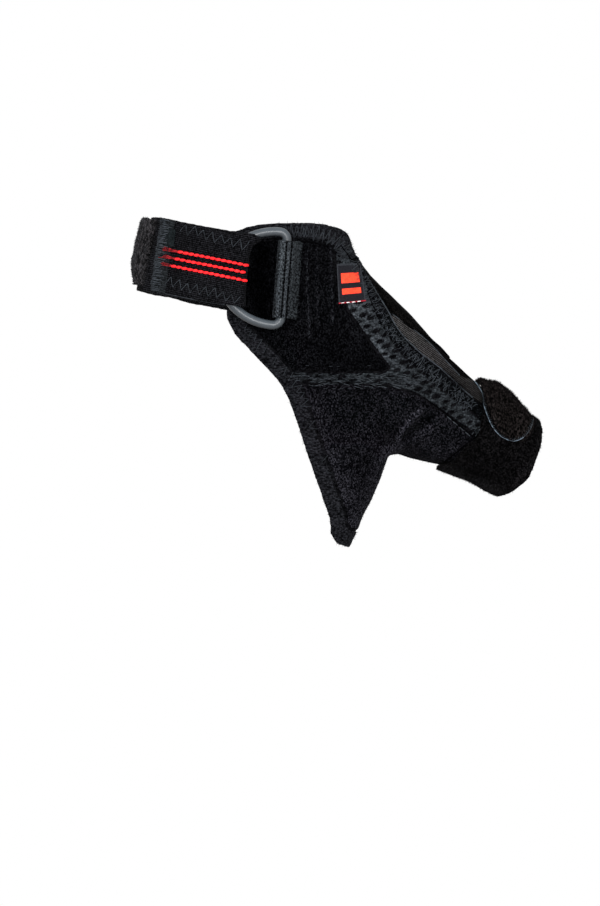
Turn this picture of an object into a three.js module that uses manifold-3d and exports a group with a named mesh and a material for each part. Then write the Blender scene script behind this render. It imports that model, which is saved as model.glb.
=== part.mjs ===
// A thumb splint for a right hand, in the shape it has when it is worn. It is a sewn cloth wrap with a tongue over the
// back of the hand, a sleeve and a cuff for the thumb, and a wrist strap that passes through a ring and folds back.
// Millimetres. +X is the thumb's side, -Y the back of the hand, +Y the palm, +Z the forearm. The fingers point down.
// The origin is the middle of the wrist's hollow, level with the ring.
import * as THREE from "three";
import { mergeVertices } from "three/addons/utils/BufferGeometryUtils.js";
import Module from "manifold-3d";

const wasm = await Module();
wasm.setup();

// The hollow that the hand and the thumb fill.
const wristWidth = 60;
const wristDepth = 40;
const topRise = 13;
const tongueDrop = 92;
const thumbReach = 90;
const thumbDrop = 63;
const thumbLean = 19;
const thumbBore = 19.5;
const thumbRoot = 33;
const formPower = 2.3;

// Cloth and seams.
const wallThickness = 2;
const coverThickness = 0.9;
const pocketThickness = 1.4;
const clearance = 0.3;
const seamGap = 0.6;
const bindingWidth = 5;
const palmSeam = 3;
const labelThickness = 0.5;

// Thumb cuff and its closing tab.
const cuffThickness = 1.6;
const cuffOverhang = 0.8;
const tabThickness = 1.4;
const tabLap = 0.3;

// Wrist strap and the fuzzy end tab on it.
const strapWidth = 24.4;
const strapFoldWidth = 22;
const strapThickness = 1.5;
const strapTilt = 11.5;
const strapLevel = -3.7;
const strapSlack = 1.5;
const strapEase = 0.7;
const foldReach = 3.3;
const foldRadius = 2.95;
const endTabWidth = 21.5;
const endTabThickness = 3;
const endTabRise = 0.6;

// Ring and the webbing loop that holds it.
const ringWire = 3;
const ringHeight = 33;
const ringDepth = 22.8;
const ringCorner = 2.5;
const ringSide = 13.2;
const ringLevel = -5.8;
const ringTilt = 4.5;
const ringSwing = 3;
const barEase = 0.4;
const webbingWidth = 25;
const webbingThickness = 1;
const webbingTail = 5;
const webbingEase = 0.8;

const roundSteps = 32;
const handSteps = 16;
const thumbSteps = 24;
const thumbStations = 14;
const wireSteps = 5;
const farAway = 70;

const baseOffset = wallThickness;
const coverInner = baseOffset + clearance;
const coverOuter = coverInner + coverThickness;

// Sections of the hollow down the hand. Widths are shares of half the wrist's width, depths of half its depth.
const handSections = [
  { down: -0.28, thumbSide: 0.98, littleSide: 0.92, back: 0.95, palm: 0.95 },
  { down: -0.14, thumbSide: 1.02, littleSide: 0.94, back: 0.975, palm: 0.975 },
  { down: -0.05, thumbSide: 1.07, littleSide: 0.97, back: 0.99, palm: 0.99 },
  { down: 0.05, thumbSide: 1.28, littleSide: 1.02, back: 1, palm: 1 },
  { down: 0.2, thumbSide: 1.5, littleSide: 1.1, back: 1, palm: 1 },
  { down: 0.33, thumbSide: 1.62, littleSide: 1.2, back: 0.98, palm: 0.98 },
  { down: 0.49, thumbSide: 1.6, littleSide: 1.27, back: 0.94, palm: 0.86 },
  { down: 0.63, thumbSide: 1.51, littleSide: 1.3, back: 0.9, palm: 0.72 },
  { down: 0.74, thumbSide: 1.4, littleSide: 1.3, back: 0.85, palm: 0.63 },
  { down: 0.83, thumbSide: 1.28, littleSide: 1.3, back: 0.8, palm: 0.58 },
  { down: 0.91, thumbSide: 1.165, littleSide: 1.27, back: 0.75, palm: 0.55 },
  { down: 1, thumbSide: 1.05, littleSide: 1.23, back: 0.7, palm: 0.52 },
  { down: 1.12, thumbSide: 0.9, littleSide: 1.2, back: 0.65, palm: 0.5 },
];

// Sections along the thumb. Across, down and lean are shares of the thumb's end point. Half widths and half depths
// run from the root's radius, at 0, to the bore's, at 1, and swell is a share added to both.
const thumbSections = [
  { across: 0.09, down: -0.03, lean: 0, taper: 0, swellWidth: -0.2, swellDepth: -0.2 },
  { across: 0.2, down: 0.127, lean: 0.02, taper: 0, swellWidth: -0.03, swellDepth: -0.09 },
  { across: 0.42, down: 0.455, lean: 0.13, taper: 0, swellWidth: -0.01, swellDepth: -0.06 },
  { across: 0.567, down: 0.656, lean: 0.26, taper: 0.1, swellWidth: 0.01, swellDepth: -0.05 },
  { across: 0.667, down: 0.764, lean: 0.38, taper: 0.45, swellWidth: 0, swellDepth: -0.03 },
  { across: 0.778, down: 0.836, lean: 0.56, taper: 0.82, swellWidth: 0.01, swellDepth: 0.01 },
  { across: 0.985, down: 0.997, lean: 1, taper: 1, swellWidth: -0.05, swellDepth: 0.01 },
  { across: 1.1, down: 1.09, lean: 1.24, taper: 1, swellWidth: -0.06, swellDepth: 0 },
];

// Front edge of the wrap, from the wrist to the tongue's tip, as shares of thumbReach and tongueDrop, and how far
// the palm's edge lies beyond it, as a share of thumbReach.
const frontEdge = [
  { across: -0.05, down: 0, palmShift: 0 },
  { across: -0.058, down: 0.2, palmShift: 0 },
  { across: 0.013, down: 0.295, palmShift: 0 },
  { across: 0.093, down: 0.378, palmShift: 0 },
  { across: 0.141, down: 0.436, palmShift: 0 },
  { across: 0.179, down: 0.52, palmShift: 0 },
  { across: 0.226, down: 0.66, palmShift: 0 },
  { across: 0.276, down: 0.8, palmShift: 0 },
  { across: 0.311, down: 0.9, palmShift: 0 },
];

// Top edge, from the thumb side back to the front corner: shares of half the wrist's width and of topRise.
const topEdge = [
  { across: 1.2, rise: 0.3 },
  { across: 1.15, rise: 0.5 },
  { across: 1.1, rise: 0.66 },
  { across: 1.02, rise: 0.82 },
  { across: 0.9, rise: 0.9 },
  { across: 0.7, rise: 0.95 },
  { across: 0.4, rise: 0.96 },
  { across: 0.12, rise: 0.9 },
  { across: -0.06, rise: 0.76 },
];

// Lines that the covers share, seen from the front, as shares of thumbReach and tongueDrop.
const wristPatchSide = [
  { across: 0.32, down: -0.2 },
  { across: 0.333, down: 0 },
  { across: 0.337, down: 0.098 },
  { across: 0.366, down: 0.151 },
  { across: 0.398, down: 0.2 },
  { across: 0.462, down: 0.288 },
  { across: 0.512, down: 0.352 },
  { across: 0.524, down: 0.372 },
  { across: 0.5, down: 0.384 },
  { across: 0.42, down: 0.387 },
  { across: 0.3, down: 0.387 },
  { across: 0.168, down: 0.381 },
  { across: -0.1, down: 0.37 },
];
const branchBottom = [
  { across: -0.1, down: 0.43 },
  { across: 0.197, down: 0.428 },
  { across: 0.326, down: 0.426 },
  { across: 0.455, down: 0.426 },
  { across: 0.53, down: 0.438 },
  { across: 0.609, down: 0.456 },
  { across: 0.652, down: 0.48 },
  { across: 0.742, down: 0.54 },
  { across: 0.86, down: 0.62 },
];
const tapeLine = [
  { across: 0.3, down: -0.14 },
  { across: 0.341, down: -0.06 },
  { across: 0.398, down: 0 },
  { across: 0.441, down: 0.074 },
  { across: 0.47, down: 0.154 },
  { across: 0.495, down: 0.21 },
  { across: 0.545, down: 0.291 },
  { across: 0.606, down: 0.358 },
  { across: 0.677, down: 0.417 },
  { across: 0.76, down: 0.48 },
  { across: 0.92, down: 0.6 },
];
const seamLine = [
  { across: 0.345, down: -0.14 },
  { across: 0.372, down: -0.06 },
  { across: 0.412, down: -0.007 },
  { across: 0.452, down: 0.067 },
  { across: 0.511, down: 0.158 },
  { across: 0.563, down: 0.242 },
  { across: 0.631, down: 0.312 },
  { across: 0.71, down: 0.372 },
  { across: 0.776, down: 0.431 },
  { across: 0.93, down: 0.56 },
];
const pocketLine = [
  { across: 0.531, down: 0.182 },
  { across: 0.597, down: 0.235 },
  { across: 0.683, down: 0.281 },
  { across: 0.735, down: 0.339 },
  { across: 0.789, down: 0.391 },
  { across: 0.9, down: 0.47 },
];
const labelOutline = [
  { across: 0.336, down: -0.008 },
  { across: 0.414, down: -0.004 },
  { across: 0.447, down: 0.141 },
  { across: 0.342, down: 0.149 },
];
const cuffEdge = [
  { across: 0.69, down: 0.76 },
  { across: 0.699, down: 0.712 },
  { across: 0.749, down: 0.705 },
  { across: 0.77, down: 0.678 },
  { across: 0.802, down: 0.64 },
  { across: 0.833, down: 0.616 },
  { across: 0.853, down: 0.581 },
  { across: 0.864, down: 0.501 },
  { across: 0.857, down: 0.431 },
  { across: 0.85, down: 0.379 },
];
const thumbTabOutline = [
  { across: 0.868, down: 0.372 },
  { across: 0.85, down: 0.412 },
  { across: 0.871, down: 0.473 },
  { across: 0.889, down: 0.537 },
  { across: 0.921, down: 0.592 },
  { across: 0.964, down: 0.627 },
  { across: 1, down: 0.632 },
  { across: 1.03, down: 0.612 },
  { across: 1.048, down: 0.578 },
  { across: 1.05, down: 0.55 },
  { across: 1.03, down: 0.523 },
  { across: 0.995, down: 0.495 },
  { across: 0.95, down: 0.455 },
];

// Catmull-Rom value of one number between four neighbours.
function splineValue(before, from, to, after, share) {
  const slopeIn = (to - before) / 2;
  const slopeOut = (after - from) / 2;
  const s = share;
  return (
    (2 * from - 2 * to + slopeIn + slopeOut) * s ** 3 +
    (-3 * from + 3 * to - 2 * slopeIn - slopeOut) * s ** 2 +
    slopeIn * s +
    from
  );
}

// A row between the rows of a table, at a share of the way along it.
function rowAt(table, share) {
  const place = Math.min(Math.max(share, 0), 1) * (table.length - 1);
  const index = Math.min(Math.floor(place), table.length - 2);
  const near = [index - 1, index, index + 1, index + 2].map(
    (i) => table[Math.min(Math.max(i, 0), table.length - 1)],
  );
  const row = {};
  for (const column of Object.keys(table[0])) {
    row[column] = splineValue(...near.map((r) => r[column]), place - index);
  }
  return row;
}

function smoothTable(table, steps) {
  return Array.from({ length: steps + 1 }, (_, i) => rowAt(table, i / steps));
}

function smoothStep(value, low, high) {
  return THREE.MathUtils.smoothstep(value, low, high);
}

// A closed surface through rings of points. The ends are closed by the flat faces of a fan.
function loft(rings, closed = false) {
  const count = rings[0].length;
  const points = rings.flat();
  const faces = [];
  const spans = closed ? rings.length : rings.length - 1;
  for (let i = 0; i < spans; i++) {
    const here = i * count;
    const next = ((i + 1) % rings.length) * count;
    for (let j = 0; j < count; j++) {
      const k = (j + 1) % count;
      faces.push(here + j, here + k, next + k, here + j, next + k, next + j);
    }
  }
  if (!closed) {
    for (const [start, turn] of [[0, 1], [(rings.length - 1) * count, -1]]) {
      const middle = points.length;
      const sum = new THREE.Vector3();
      rings[start / count].forEach((p) => sum.add(p));
      points.push(sum.divideScalar(count));
      for (let j = 0; j < count; j++) {
        const k = (j + 1) % count;
        faces.push(middle, start + (turn > 0 ? k : j), start + (turn > 0 ? j : k));
      }
    }
  }
  const geometry = new THREE.BufferGeometry().setFromPoints(points);
  geometry.setIndex(faces);
  return geometry;
}

// A geometry as a solid that can be cut and joined, turned the right way out.
function solidOf(geometry) {
  const bare = geometry.clone();
  bare.deleteAttribute("normal");
  bare.deleteAttribute("uv");
  const merged = mergeVertices(bare, 1e-4);
  const vertProperties = new Float32Array(merged.attributes.position.array);
  const triVerts = new Uint32Array(merged.index.array);
  const made = new wasm.Manifold(new wasm.Mesh({ numProp: 3, vertProperties, triVerts }));
  if (made.volume() >= 0) return made;
  const turned = triVerts.slice();
  for (let i = 0; i < turned.length; i += 3) {
    [turned[i], turned[i + 1]] = [turned[i + 1], turned[i]];
  }
  return new wasm.Manifold(new wasm.Mesh({ numProp: 3, vertProperties, triVerts: turned }));
}

// The largest connected body of a solid, as a geometry.
function geometryOf(solid) {
  const bodies = solid.decompose().sort((a, b) => b.volume() - a.volume());
  const mesh = bodies[0].getMesh();
  const geometry = new THREE.BufferGeometry();
  geometry.setAttribute("position", new THREE.BufferAttribute(mesh.vertProperties.slice(), 3));
  geometry.setIndex(new THREE.BufferAttribute(mesh.triVerts.slice(), 1));
  geometry.computeVertexNormals();
  return geometry;
}

function superellipse(angle) {
  const bend = 2 / formPower;
  const c = Math.cos(angle);
  const s = Math.sin(angle);
  return [Math.sign(c) * Math.abs(c) ** bend, Math.sign(s) * Math.abs(s) ** bend];
}

// Point of the hand's hollow, grown by an offset: angle 0 is the thumb side and a quarter turn the palm.
function handPoint(section, angle, offset) {
  const halfWidth = ((section.thumbSide + section.littleSide) * wristWidth) / 4;
  const halfDepth = ((section.back + section.palm) * wristDepth) / 4;
  const middleX = ((section.thumbSide - section.littleSide) * wristWidth) / 4;
  const middleY = ((section.palm - section.back) * wristDepth) / 4;
  const [c, s] = superellipse(angle);
  const z = section.down > 0 ? -section.down * tongueDrop : (-section.down * topRise) / 0.14;
  return new THREE.Vector3(
    middleX + (halfWidth + offset) * c,
    middleY + (halfDepth + offset) * s,
    z,
  );
}

function handForm(offset) {
  const rings = smoothTable(handSections, handSteps).map((section) =>
    Array.from({ length: roundSteps }, (_, i) =>
      handPoint(section, (2 * Math.PI * i) / roundSteps, offset),
    ),
  );
  return solidOf(loft(rings));
}

const thumbPath = new THREE.CatmullRomCurve3(
  thumbSections.map(
    (row) =>
      new THREE.Vector3(row.across * thumbReach, row.lean * thumbLean, -row.down * thumbDrop),
  ),
  false,
  "catmullrom",
  0.5,
);

// The thumb's axis, its two cross directions and its half sizes at a share of the path.
function thumbFrame(share) {
  const place = thumbPath.getPoint(share);
  const along = thumbPath.getTangent(share);
  const upward = new THREE.Vector3(-along.z, 0, along.x).normalize();
  const towardPalm = new THREE.Vector3().crossVectors(upward, along).normalize();
  const row = rowAt(thumbSections, share);
  const radius = THREE.MathUtils.lerp(thumbRoot, thumbBore, row.taper) / 2;
  return {
    place,
    along,
    upward,
    towardPalm,
    halfWidth: radius * (1 + row.swellWidth),
    halfDepth: radius * (1 + row.swellDepth),
  };
}

const thumbEndShare = 6 / (thumbSections.length - 1);

function thumbForm(offset) {
  const rings = Array.from({ length: thumbStations + 1 }, (_, i) => {
    const frame = thumbFrame(i / thumbStations);
    return Array.from({ length: thumbSteps }, (__, j) => {
      const angle = (2 * Math.PI * j) / thumbSteps;
      return frame.place
        .clone()
        .addScaledVector(frame.upward, (frame.halfWidth + offset) * Math.cos(angle))
        .addScaledVector(frame.towardPalm, (frame.halfDepth + offset) * Math.sin(angle));
    });
  });
  return solidOf(loft(rings));
}

const forms = new Map();
function form(offset) {
  if (!forms.has(offset)) forms.set(offset, handForm(offset).add(thumbForm(offset)));
  return forms.get(offset);
}

// The cloth between two offsets from the hollow.
function layer(inner, outer) {
  return form(outer).subtract(form(inner));
}

function point(row) {
  return new THREE.Vector2(row.across * thumbReach, -row.down * tongueDrop);
}

function curvePoints(rows, steps) {
  return new THREE.SplineCurve(rows.map(point)).getPoints(steps);
}

// A flat outline in X and Z, drawn out along Y.
function prism(points, fromY = -farAway, toY = farAway) {
  const shape = new THREE.Shape(points);
  const geometry = new THREE.ExtrudeGeometry(shape, {
    depth: toY - fromY,
    bevelEnabled: false,
    curveSegments: 1,
  });
  geometry.rotateX(Math.PI / 2);
  geometry.translate(0, toY, 0);
  return solidOf(geometry);
}

// Points of a line moved sideways by a distance, to the left of its direction of travel.
function beside(points, distance) {
  return points.map((p, i) => {
    const before = points[Math.max(i - 1, 0)];
    const after = points[Math.min(i + 1, points.length - 1)];
    const way = new THREE.Vector2().subVectors(after, before).normalize();
    return new THREE.Vector2(p.x - way.y * distance, p.y + way.x * distance);
  });
}

// A block whose outline in X and Z changes from the back's to the palm's through the depth.
function outlineBlock(back, palm) {
  const count = back.length;
  const half = wristDepth / 2 + wallThickness;
  const places = [
    [-farAway, 0],
    [-half, 0],
    [half, 1],
    [farAway, 1],
  ];
  const rings = places.map(([y, share]) =>
    back.map((p, i) => {
      const mixed = p.clone().lerp(palm[i], share);
      return new THREE.Vector3(mixed.x, y, mixed.y);
    }),
  );
  const faces = [];
  for (let i = 0; i < rings.length - 1; i++) {
    for (let j = 0; j < count; j++) {
      const k = (j + 1) % count;
      const here = i * count;
      const next = here + count;
      faces.push(here + j, here + k, next + k, here + j, next + k, next + j);
    }
  }
  const last = (rings.length - 1) * count;
  for (const [a, b, c] of THREE.ShapeUtils.triangulateShape(back, [])) faces.push(a, c, b);
  for (const [a, b, c] of THREE.ShapeUtils.triangulateShape(palm, [])) {
    faces.push(last + a, last + b, last + c);
  }
  const geometry = new THREE.BufferGeometry().setFromPoints(rings.flat());
  geometry.setIndex(faces);
  return solidOf(geometry);
}

// Everything on the thumb's side of the wrap's front edge and above the tongue's tip.
function frontOutline(palmShare, inset) {
  const rows = smoothTable(frontEdge, 16);
  const edge = rows.map((row) =>
    point({ across: row.across + row.palmShift * palmShare, down: row.down }),
  );
  const side = beside(edge, inset);
  const tipLevel = -tongueDrop + inset;
  const last = side[side.length - 1];
  const drop = last.y - tipLevel;
  const tip = new THREE.QuadraticBezierCurve(
    last,
    new THREE.Vector2(last.x - drop * 0.05, tipLevel),
    new THREE.Vector2(last.x + drop * 0.6, tipLevel),
  ).getPoints(3);
  return [
    new THREE.Vector2(side[0].x, farAway),
    ...side,
    ...tip.slice(1),
    new THREE.Vector2(thumbReach + farAway, tipLevel),
    new THREE.Vector2(thumbReach + farAway, farAway),
  ];
}

function wrapBlock(inset) {
  const top = smoothTable(topEdge, 14).map(
    (row) => new THREE.Vector2((row.across * wristWidth) / 2, row.rise * topRise),
  );
  const line = beside(top, inset);
  const under = prism([
    new THREE.Vector2(-farAway, -2 * farAway),
    new THREE.Vector2(thumbReach + farAway, -2 * farAway),
    new THREE.Vector2(thumbReach + farAway, line[0].y),
    ...line,
    new THREE.Vector2(-farAway, line[line.length - 1].y),
  ]);
  return outlineBlock(frontOutline(0, inset), frontOutline(1, inset)).intersect(under);
}

// The block above or below a line that runs to the thumb's side and down, seen from the front.
function blockAbove(rows, shift, steps = 20) {
  const line = beside(curvePoints(rows, steps), shift);
  return prism([
    new THREE.Vector2(line[0].x, farAway),
    ...line,
    new THREE.Vector2(thumbReach + farAway, line[line.length - 1].y),
    new THREE.Vector2(thumbReach + farAway, farAway),
  ]);
}

function blockBelow(rows, shift, steps = 20) {
  const line = beside(curvePoints(rows, steps), shift);
  return prism([
    new THREE.Vector2(line[0].x - Math.abs(shift), -2 * farAway),
    new THREE.Vector2(line[0].x - Math.abs(shift), line[0].y),
    ...line,
    new THREE.Vector2(thumbReach + farAway, line[line.length - 1].y),
    new THREE.Vector2(thumbReach + farAway, -2 * farAway),
  ]);
}

// A big block on the far side of a plane.
function beyondPlane(origin, normal) {
  const reach = 3 * farAway;
  const geometry = new THREE.BoxGeometry(2 * reach, 2 * reach, reach);
  geometry.translate(0, 0, reach / 2);
  const turn = new THREE.Quaternion().setFromUnitVectors(
    new THREE.Vector3(0, 0, 1),
    normal.clone().normalize(),
  );
  geometry.applyQuaternion(turn);
  geometry.translate(origin.x, origin.y, origin.z);
  return solidOf(geometry);
}

function beyondThumb(share, extra) {
  const frame = thumbFrame(share);
  return beyondPlane(frame.place.clone().addScaledVector(frame.along, extra), frame.along);
}

function cuffRegion(grow) {
  const line = beside(curvePoints(cuffEdge, 16), grow);
  return prism([
    new THREE.Vector2(line[0].x, -2 * farAway),
    ...line,
    new THREE.Vector2(line[line.length - 1].x, farAway),
    new THREE.Vector2(thumbReach + farAway, farAway),
    new THREE.Vector2(thumbReach + farAway, -2 * farAway),
  ]);
}

const palmNormal = new THREE.Vector3((-0.85 * thumbLean) / thumbReach, 1, 0);
const palmSide = beyondPlane(new THREE.Vector3(0, palmSeam + seamGap / 2, 0), palmNormal);
const backSide = beyondPlane(
  new THREE.Vector3(0, palmSeam - seamGap / 2, 0),
  palmNormal.clone().negate(),
);

// The wrap: one foam cloth shell, and the covers sewn on it, which lie side by side with a seam's gap between.
const thumbEnd = beyondThumb(thumbEndShare, 0);
const wholeWrap = wrapBlock(0);
const handShell = layer(0, baseOffset).intersect(wholeWrap).subtract(thumbEnd);
const coverLayer = layer(coverInner, coverOuter).subtract(beyondThumb(thumbEndShare, -0.5));
const edgeBinding = coverLayer.intersect(wholeWrap).subtract(wrapBlock(bindingWidth));
const covers = coverLayer.intersect(wrapBlock(bindingWidth + seamGap));
const backCovers = covers.intersect(backSide);

const half = seamGap / 2;
const wristRegion = (grow) =>
  prism([
    new THREE.Vector2(-farAway, farAway),
    new THREE.Vector2(-farAway, point(wristPatchSide[wristPatchSide.length - 1]).y),
    ...beside(curvePoints(wristPatchSide, 44), grow).reverse(),
    new THREE.Vector2(point(wristPatchSide[0]).x, farAway),
  ]);
const handRegion = (grow) => {
  const line = beside(curvePoints(branchBottom, 16), grow);
  return prism([
    new THREE.Vector2(-2 * farAway, line[0].y),
    ...line,
    new THREE.Vector2(thumbReach + farAway, line[line.length - 1].y),
    new THREE.Vector2(thumbReach + farAway, -2 * farAway),
    new THREE.Vector2(-2 * farAway, -2 * farAway),
  ]);
};

const wristPatch = backCovers.intersect(wristRegion(-half));
const handPatch = covers.intersect(handRegion(-half).add(palmSide));
const meshPanel = backCovers
  .subtract(wristRegion(half))
  .subtract(handRegion(half))
  .subtract(blockAbove(tapeLine, -half));
const seamTape = backCovers
  .intersect(blockAbove(tapeLine, half))
  .subtract(handRegion(half))
  .subtract(blockAbove(seamLine, -half));
const sidePanel = backCovers
  .intersect(blockAbove(seamLine, half))
  .subtract(handRegion(half))
  .subtract(blockBelow(pocketLine, half));
const stayPocket = layer(coverInner, coverInner + pocketThickness)
  .intersect(wrapBlock(bindingWidth + seamGap))
  .intersect(backSide)
  .intersect(blockAbove(seamLine, half))
  .intersect(blockBelow(pocketLine, -half))
  .subtract(cuffRegion(clearance));
const label = layer(coverOuter + clearance, coverOuter + clearance + labelThickness)
  .intersect(prism(labelOutline.map(point)))
  .intersect(backSide);

// The cuff round the thumb sleeve's end and the tab over it.
const cuffInner = coverOuter + clearance;
const cuffOuter = cuffInner + cuffThickness;
const cuffStart = 2.6 / (thumbSections.length - 1);
function thumbLayer(inner, outer) {
  return thumbForm(outer).subtract(thumbForm(inner)).intersect(beyondThumb(cuffStart, 0));
}
const thumbCuff = thumbLayer(cuffInner, cuffOuter)
  .intersect(cuffRegion(0))
  .subtract(beyondThumb(thumbEndShare, cuffOverhang));
const tabRegion = (() => {
  const line = curvePoints(thumbTabOutline, 20);
  return prism([
    new THREE.Vector2(line[0].x, farAway),
    ...line,
    new THREE.Vector2(line[line.length - 1].x, farAway),
  ]);
})();
const tabFrame = thumbFrame(thumbEndShare - 0.06);
const thumbTab = thumbLayer(cuffOuter + clearance, cuffOuter + clearance + tabThickness)
  .intersect(tabRegion)
  .subtract(
    beyondPlane(
      tabFrame.place.clone().addScaledVector(tabFrame.towardPalm, tabLap * thumbBore),
      tabFrame.towardPalm,
    ),
  );

// A flat band through stations with a place in the strap's plane and a width. Low and high add to a side's depth.
function bandGeometry(stations, thickness) {
  const rings = stations.map((s, i) => {
    const before = stations[Math.max(i - 1, 0)];
    const after = stations[Math.min(i + 1, stations.length - 1)];
    const way = new THREE.Vector2(after.x - before.x, after.y - before.y).normalize();
    const out = new THREE.Vector2(-way.y, way.x).multiplyScalar(thickness / 2);
    const corner = (side, z, lift) => new THREE.Vector3(s.x + side * out.x, s.y + side * out.y + lift, z);
    const low = s.low ?? 0;
    const high = s.high ?? 0;
    return [
      corner(-1, -s.width / 2, low),
      corner(1, -s.width / 2, low),
      corner(1, s.width / 2, high),
      corner(-1, s.width / 2, high),
    ];
  });
  return loft(rings);
}

function placed(geometry, tilt, x, z) {
  geometry.rotateY(THREE.MathUtils.degToRad(tilt));
  geometry.translate(x, 0, z);
  return solidOf(geometry);
}

// Place on the wrist's round at a turn in degrees, 0 at the thumb's side and 90 at the palm.
function roundPlace(turn, offset) {
  const [c, s] = superellipse(THREE.MathUtils.degToRad(turn));
  return { x: (wristWidth / 2 + offset) * c, y: (wristDepth / 2 + offset) * s };
}

const onWrap = coverOuter + strapEase + strapThickness / 2;
const onSkin = strapSlack + strapThickness / 2;
const foldLevel = onWrap + foldRadius;
const overRing = onWrap + 2 * foldRadius;
const overUnder = onSkin + strapThickness + clearance;
const onTab = onSkin + strapThickness / 2 + clearance + endTabThickness + clearance + strapThickness / 2;

const underRows = [
  { turn: 80, height: onWrap },
  { turn: 94, height: onWrap },
  { turn: 104, height: onWrap },
  { turn: 118, height: onSkin },
  { turn: 150, height: onSkin },
  { turn: 180, height: onSkin },
  { turn: 210, height: onSkin },
  { turn: 236, height: onSkin },
  { turn: 250, height: onWrap },
  { turn: 256, height: onWrap },
  { turn: 263, height: onWrap },
];
const topRows = [
  { turn: 245, height: overRing - 0.7 },
  { turn: 238, height: onTab },
  { turn: 230, height: onTab },
  { turn: 219, height: onTab },
];
const backDepthMiddle = wristDepth / 2;
const foldPlace = { x: foldReach - foldRadius - strapThickness / 2, y: -(backDepthMiddle + foldLevel) };
const foldStations = Array.from({ length: 9 }, (_, i) => {
  const angle = Math.PI / 2 - (Math.PI * i) / 8;
  return {
    x: foldPlace.x + foldRadius * Math.cos(angle),
    y: foldPlace.y + foldRadius * Math.sin(angle),
    width: strapFoldWidth,
  };
});
const strapStations = [
  ...smoothTable(underRows, 44).map((row) => ({ ...roundPlace(row.turn, row.height), width: strapWidth })),
  ...foldStations,
  { x: foldPlace.x - 4, y: foldPlace.y - foldRadius, width: strapFoldWidth + 0.4 },
  { x: foldPlace.x - 8, y: foldPlace.y - foldRadius, width: strapFoldWidth + 0.8 },
  ...smoothTable(topRows, 16).map((row) => ({ ...roundPlace(row.turn, row.height), width: strapWidth })),
];
const wristStrap = placed(bandGeometry(strapStations, strapThickness), strapTilt, 0, strapLevel);

const tabMiddle = onSkin + strapThickness / 2 + clearance + endTabThickness / 2;
const endTabStations = Array.from({ length: 24 }, (_, i) => {
  const turn = THREE.MathUtils.lerp(132, 229, i / 23);
  return { ...roundPlace(turn, tabMiddle), width: endTabWidth };
});
const endTabGeometry = bandGeometry(endTabStations, endTabThickness);
endTabGeometry.translate(0, 0, endTabRise);
const strapEndTab = placed(endTabGeometry, strapTilt, 0, strapLevel);

// The ring: a straight bar on the thumb's side and an arc that the strap goes round.
const barDepth = -(wristDepth / 2 + coverOuter + webbingThickness + 2 * clearance + ringWire / 2 + barEase);
const ringHalf = (ringHeight - ringWire) / 2;
const arcReach = ringDepth - ringWire - ringCorner;
const ringPoints = [];
for (let i = 0; i <= 4; i++) {
  ringPoints.push([0, ringHalf - ringCorner - ((ringHalf - ringCorner) * 2 * i) / 4]);
}
for (let i = 1; i < 4; i++) {
  const angle = (Math.PI / 2) * (i / 4);
  ringPoints.push([-ringCorner + ringCorner * Math.cos(angle), -ringHalf + ringCorner - ringCorner * Math.sin(angle)]);
}
for (let i = 0; i <= 20; i++) {
  const angle = -Math.PI / 2 - (Math.PI * i) / 20;
  ringPoints.push([-ringCorner + arcReach * Math.cos(angle), ringHalf * Math.sin(angle)]);
}
for (let i = 3; i > 0; i--) {
  const angle = (Math.PI / 2) * (i / 4);
  ringPoints.push([-ringCorner + ringCorner * Math.cos(angle), ringHalf - ringCorner + ringCorner * Math.sin(angle)]);
}
const ringCurve = new THREE.CatmullRomCurve3(
  ringPoints.map(([x, z]) => new THREE.Vector3(x, 0, z)),
  true,
  "centripetal",
);
const wireShape = new THREE.Shape().absarc(0, 0, ringWire / 2, 0, 2 * Math.PI, false);
const ringGeometry = new THREE.ExtrudeGeometry(wireShape, {
  steps: 44,
  curveSegments: wireSteps,
  extrudePath: ringCurve,
  bevelEnabled: false,
});
ringGeometry.rotateZ(THREE.MathUtils.degToRad(ringSwing));
ringGeometry.translate(0, barDepth, 0);
const dRing = placed(ringGeometry, ringTilt, ringSide, ringLevel);

// Depth of the back of the hollow at a place, grown by an offset.
const fineSections = smoothTable(handSections, 60).map((row) => ({ row, z: handPoint(row, 0, 0).z }));
function backDepthAt(x, z, offset) {
  const index = Math.max(fineSections.findIndex((f) => f.z < z), 1);
  const { row } = fineSections[index];
  const halfWidth = ((row.thumbSide + row.littleSide) * wristWidth) / 4 + offset;
  const halfDepth = ((row.back + row.palm) * wristDepth) / 4 + offset;
  const middleX = ((row.thumbSide - row.littleSide) * wristWidth) / 4;
  const middleY = ((row.palm - row.back) * wristDepth) / 4;
  const share = Math.min(Math.abs((x - middleX) / halfWidth), 1);
  return middleY - halfDepth * (1 - share ** formPower) ** (1 / formPower);
}

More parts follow.
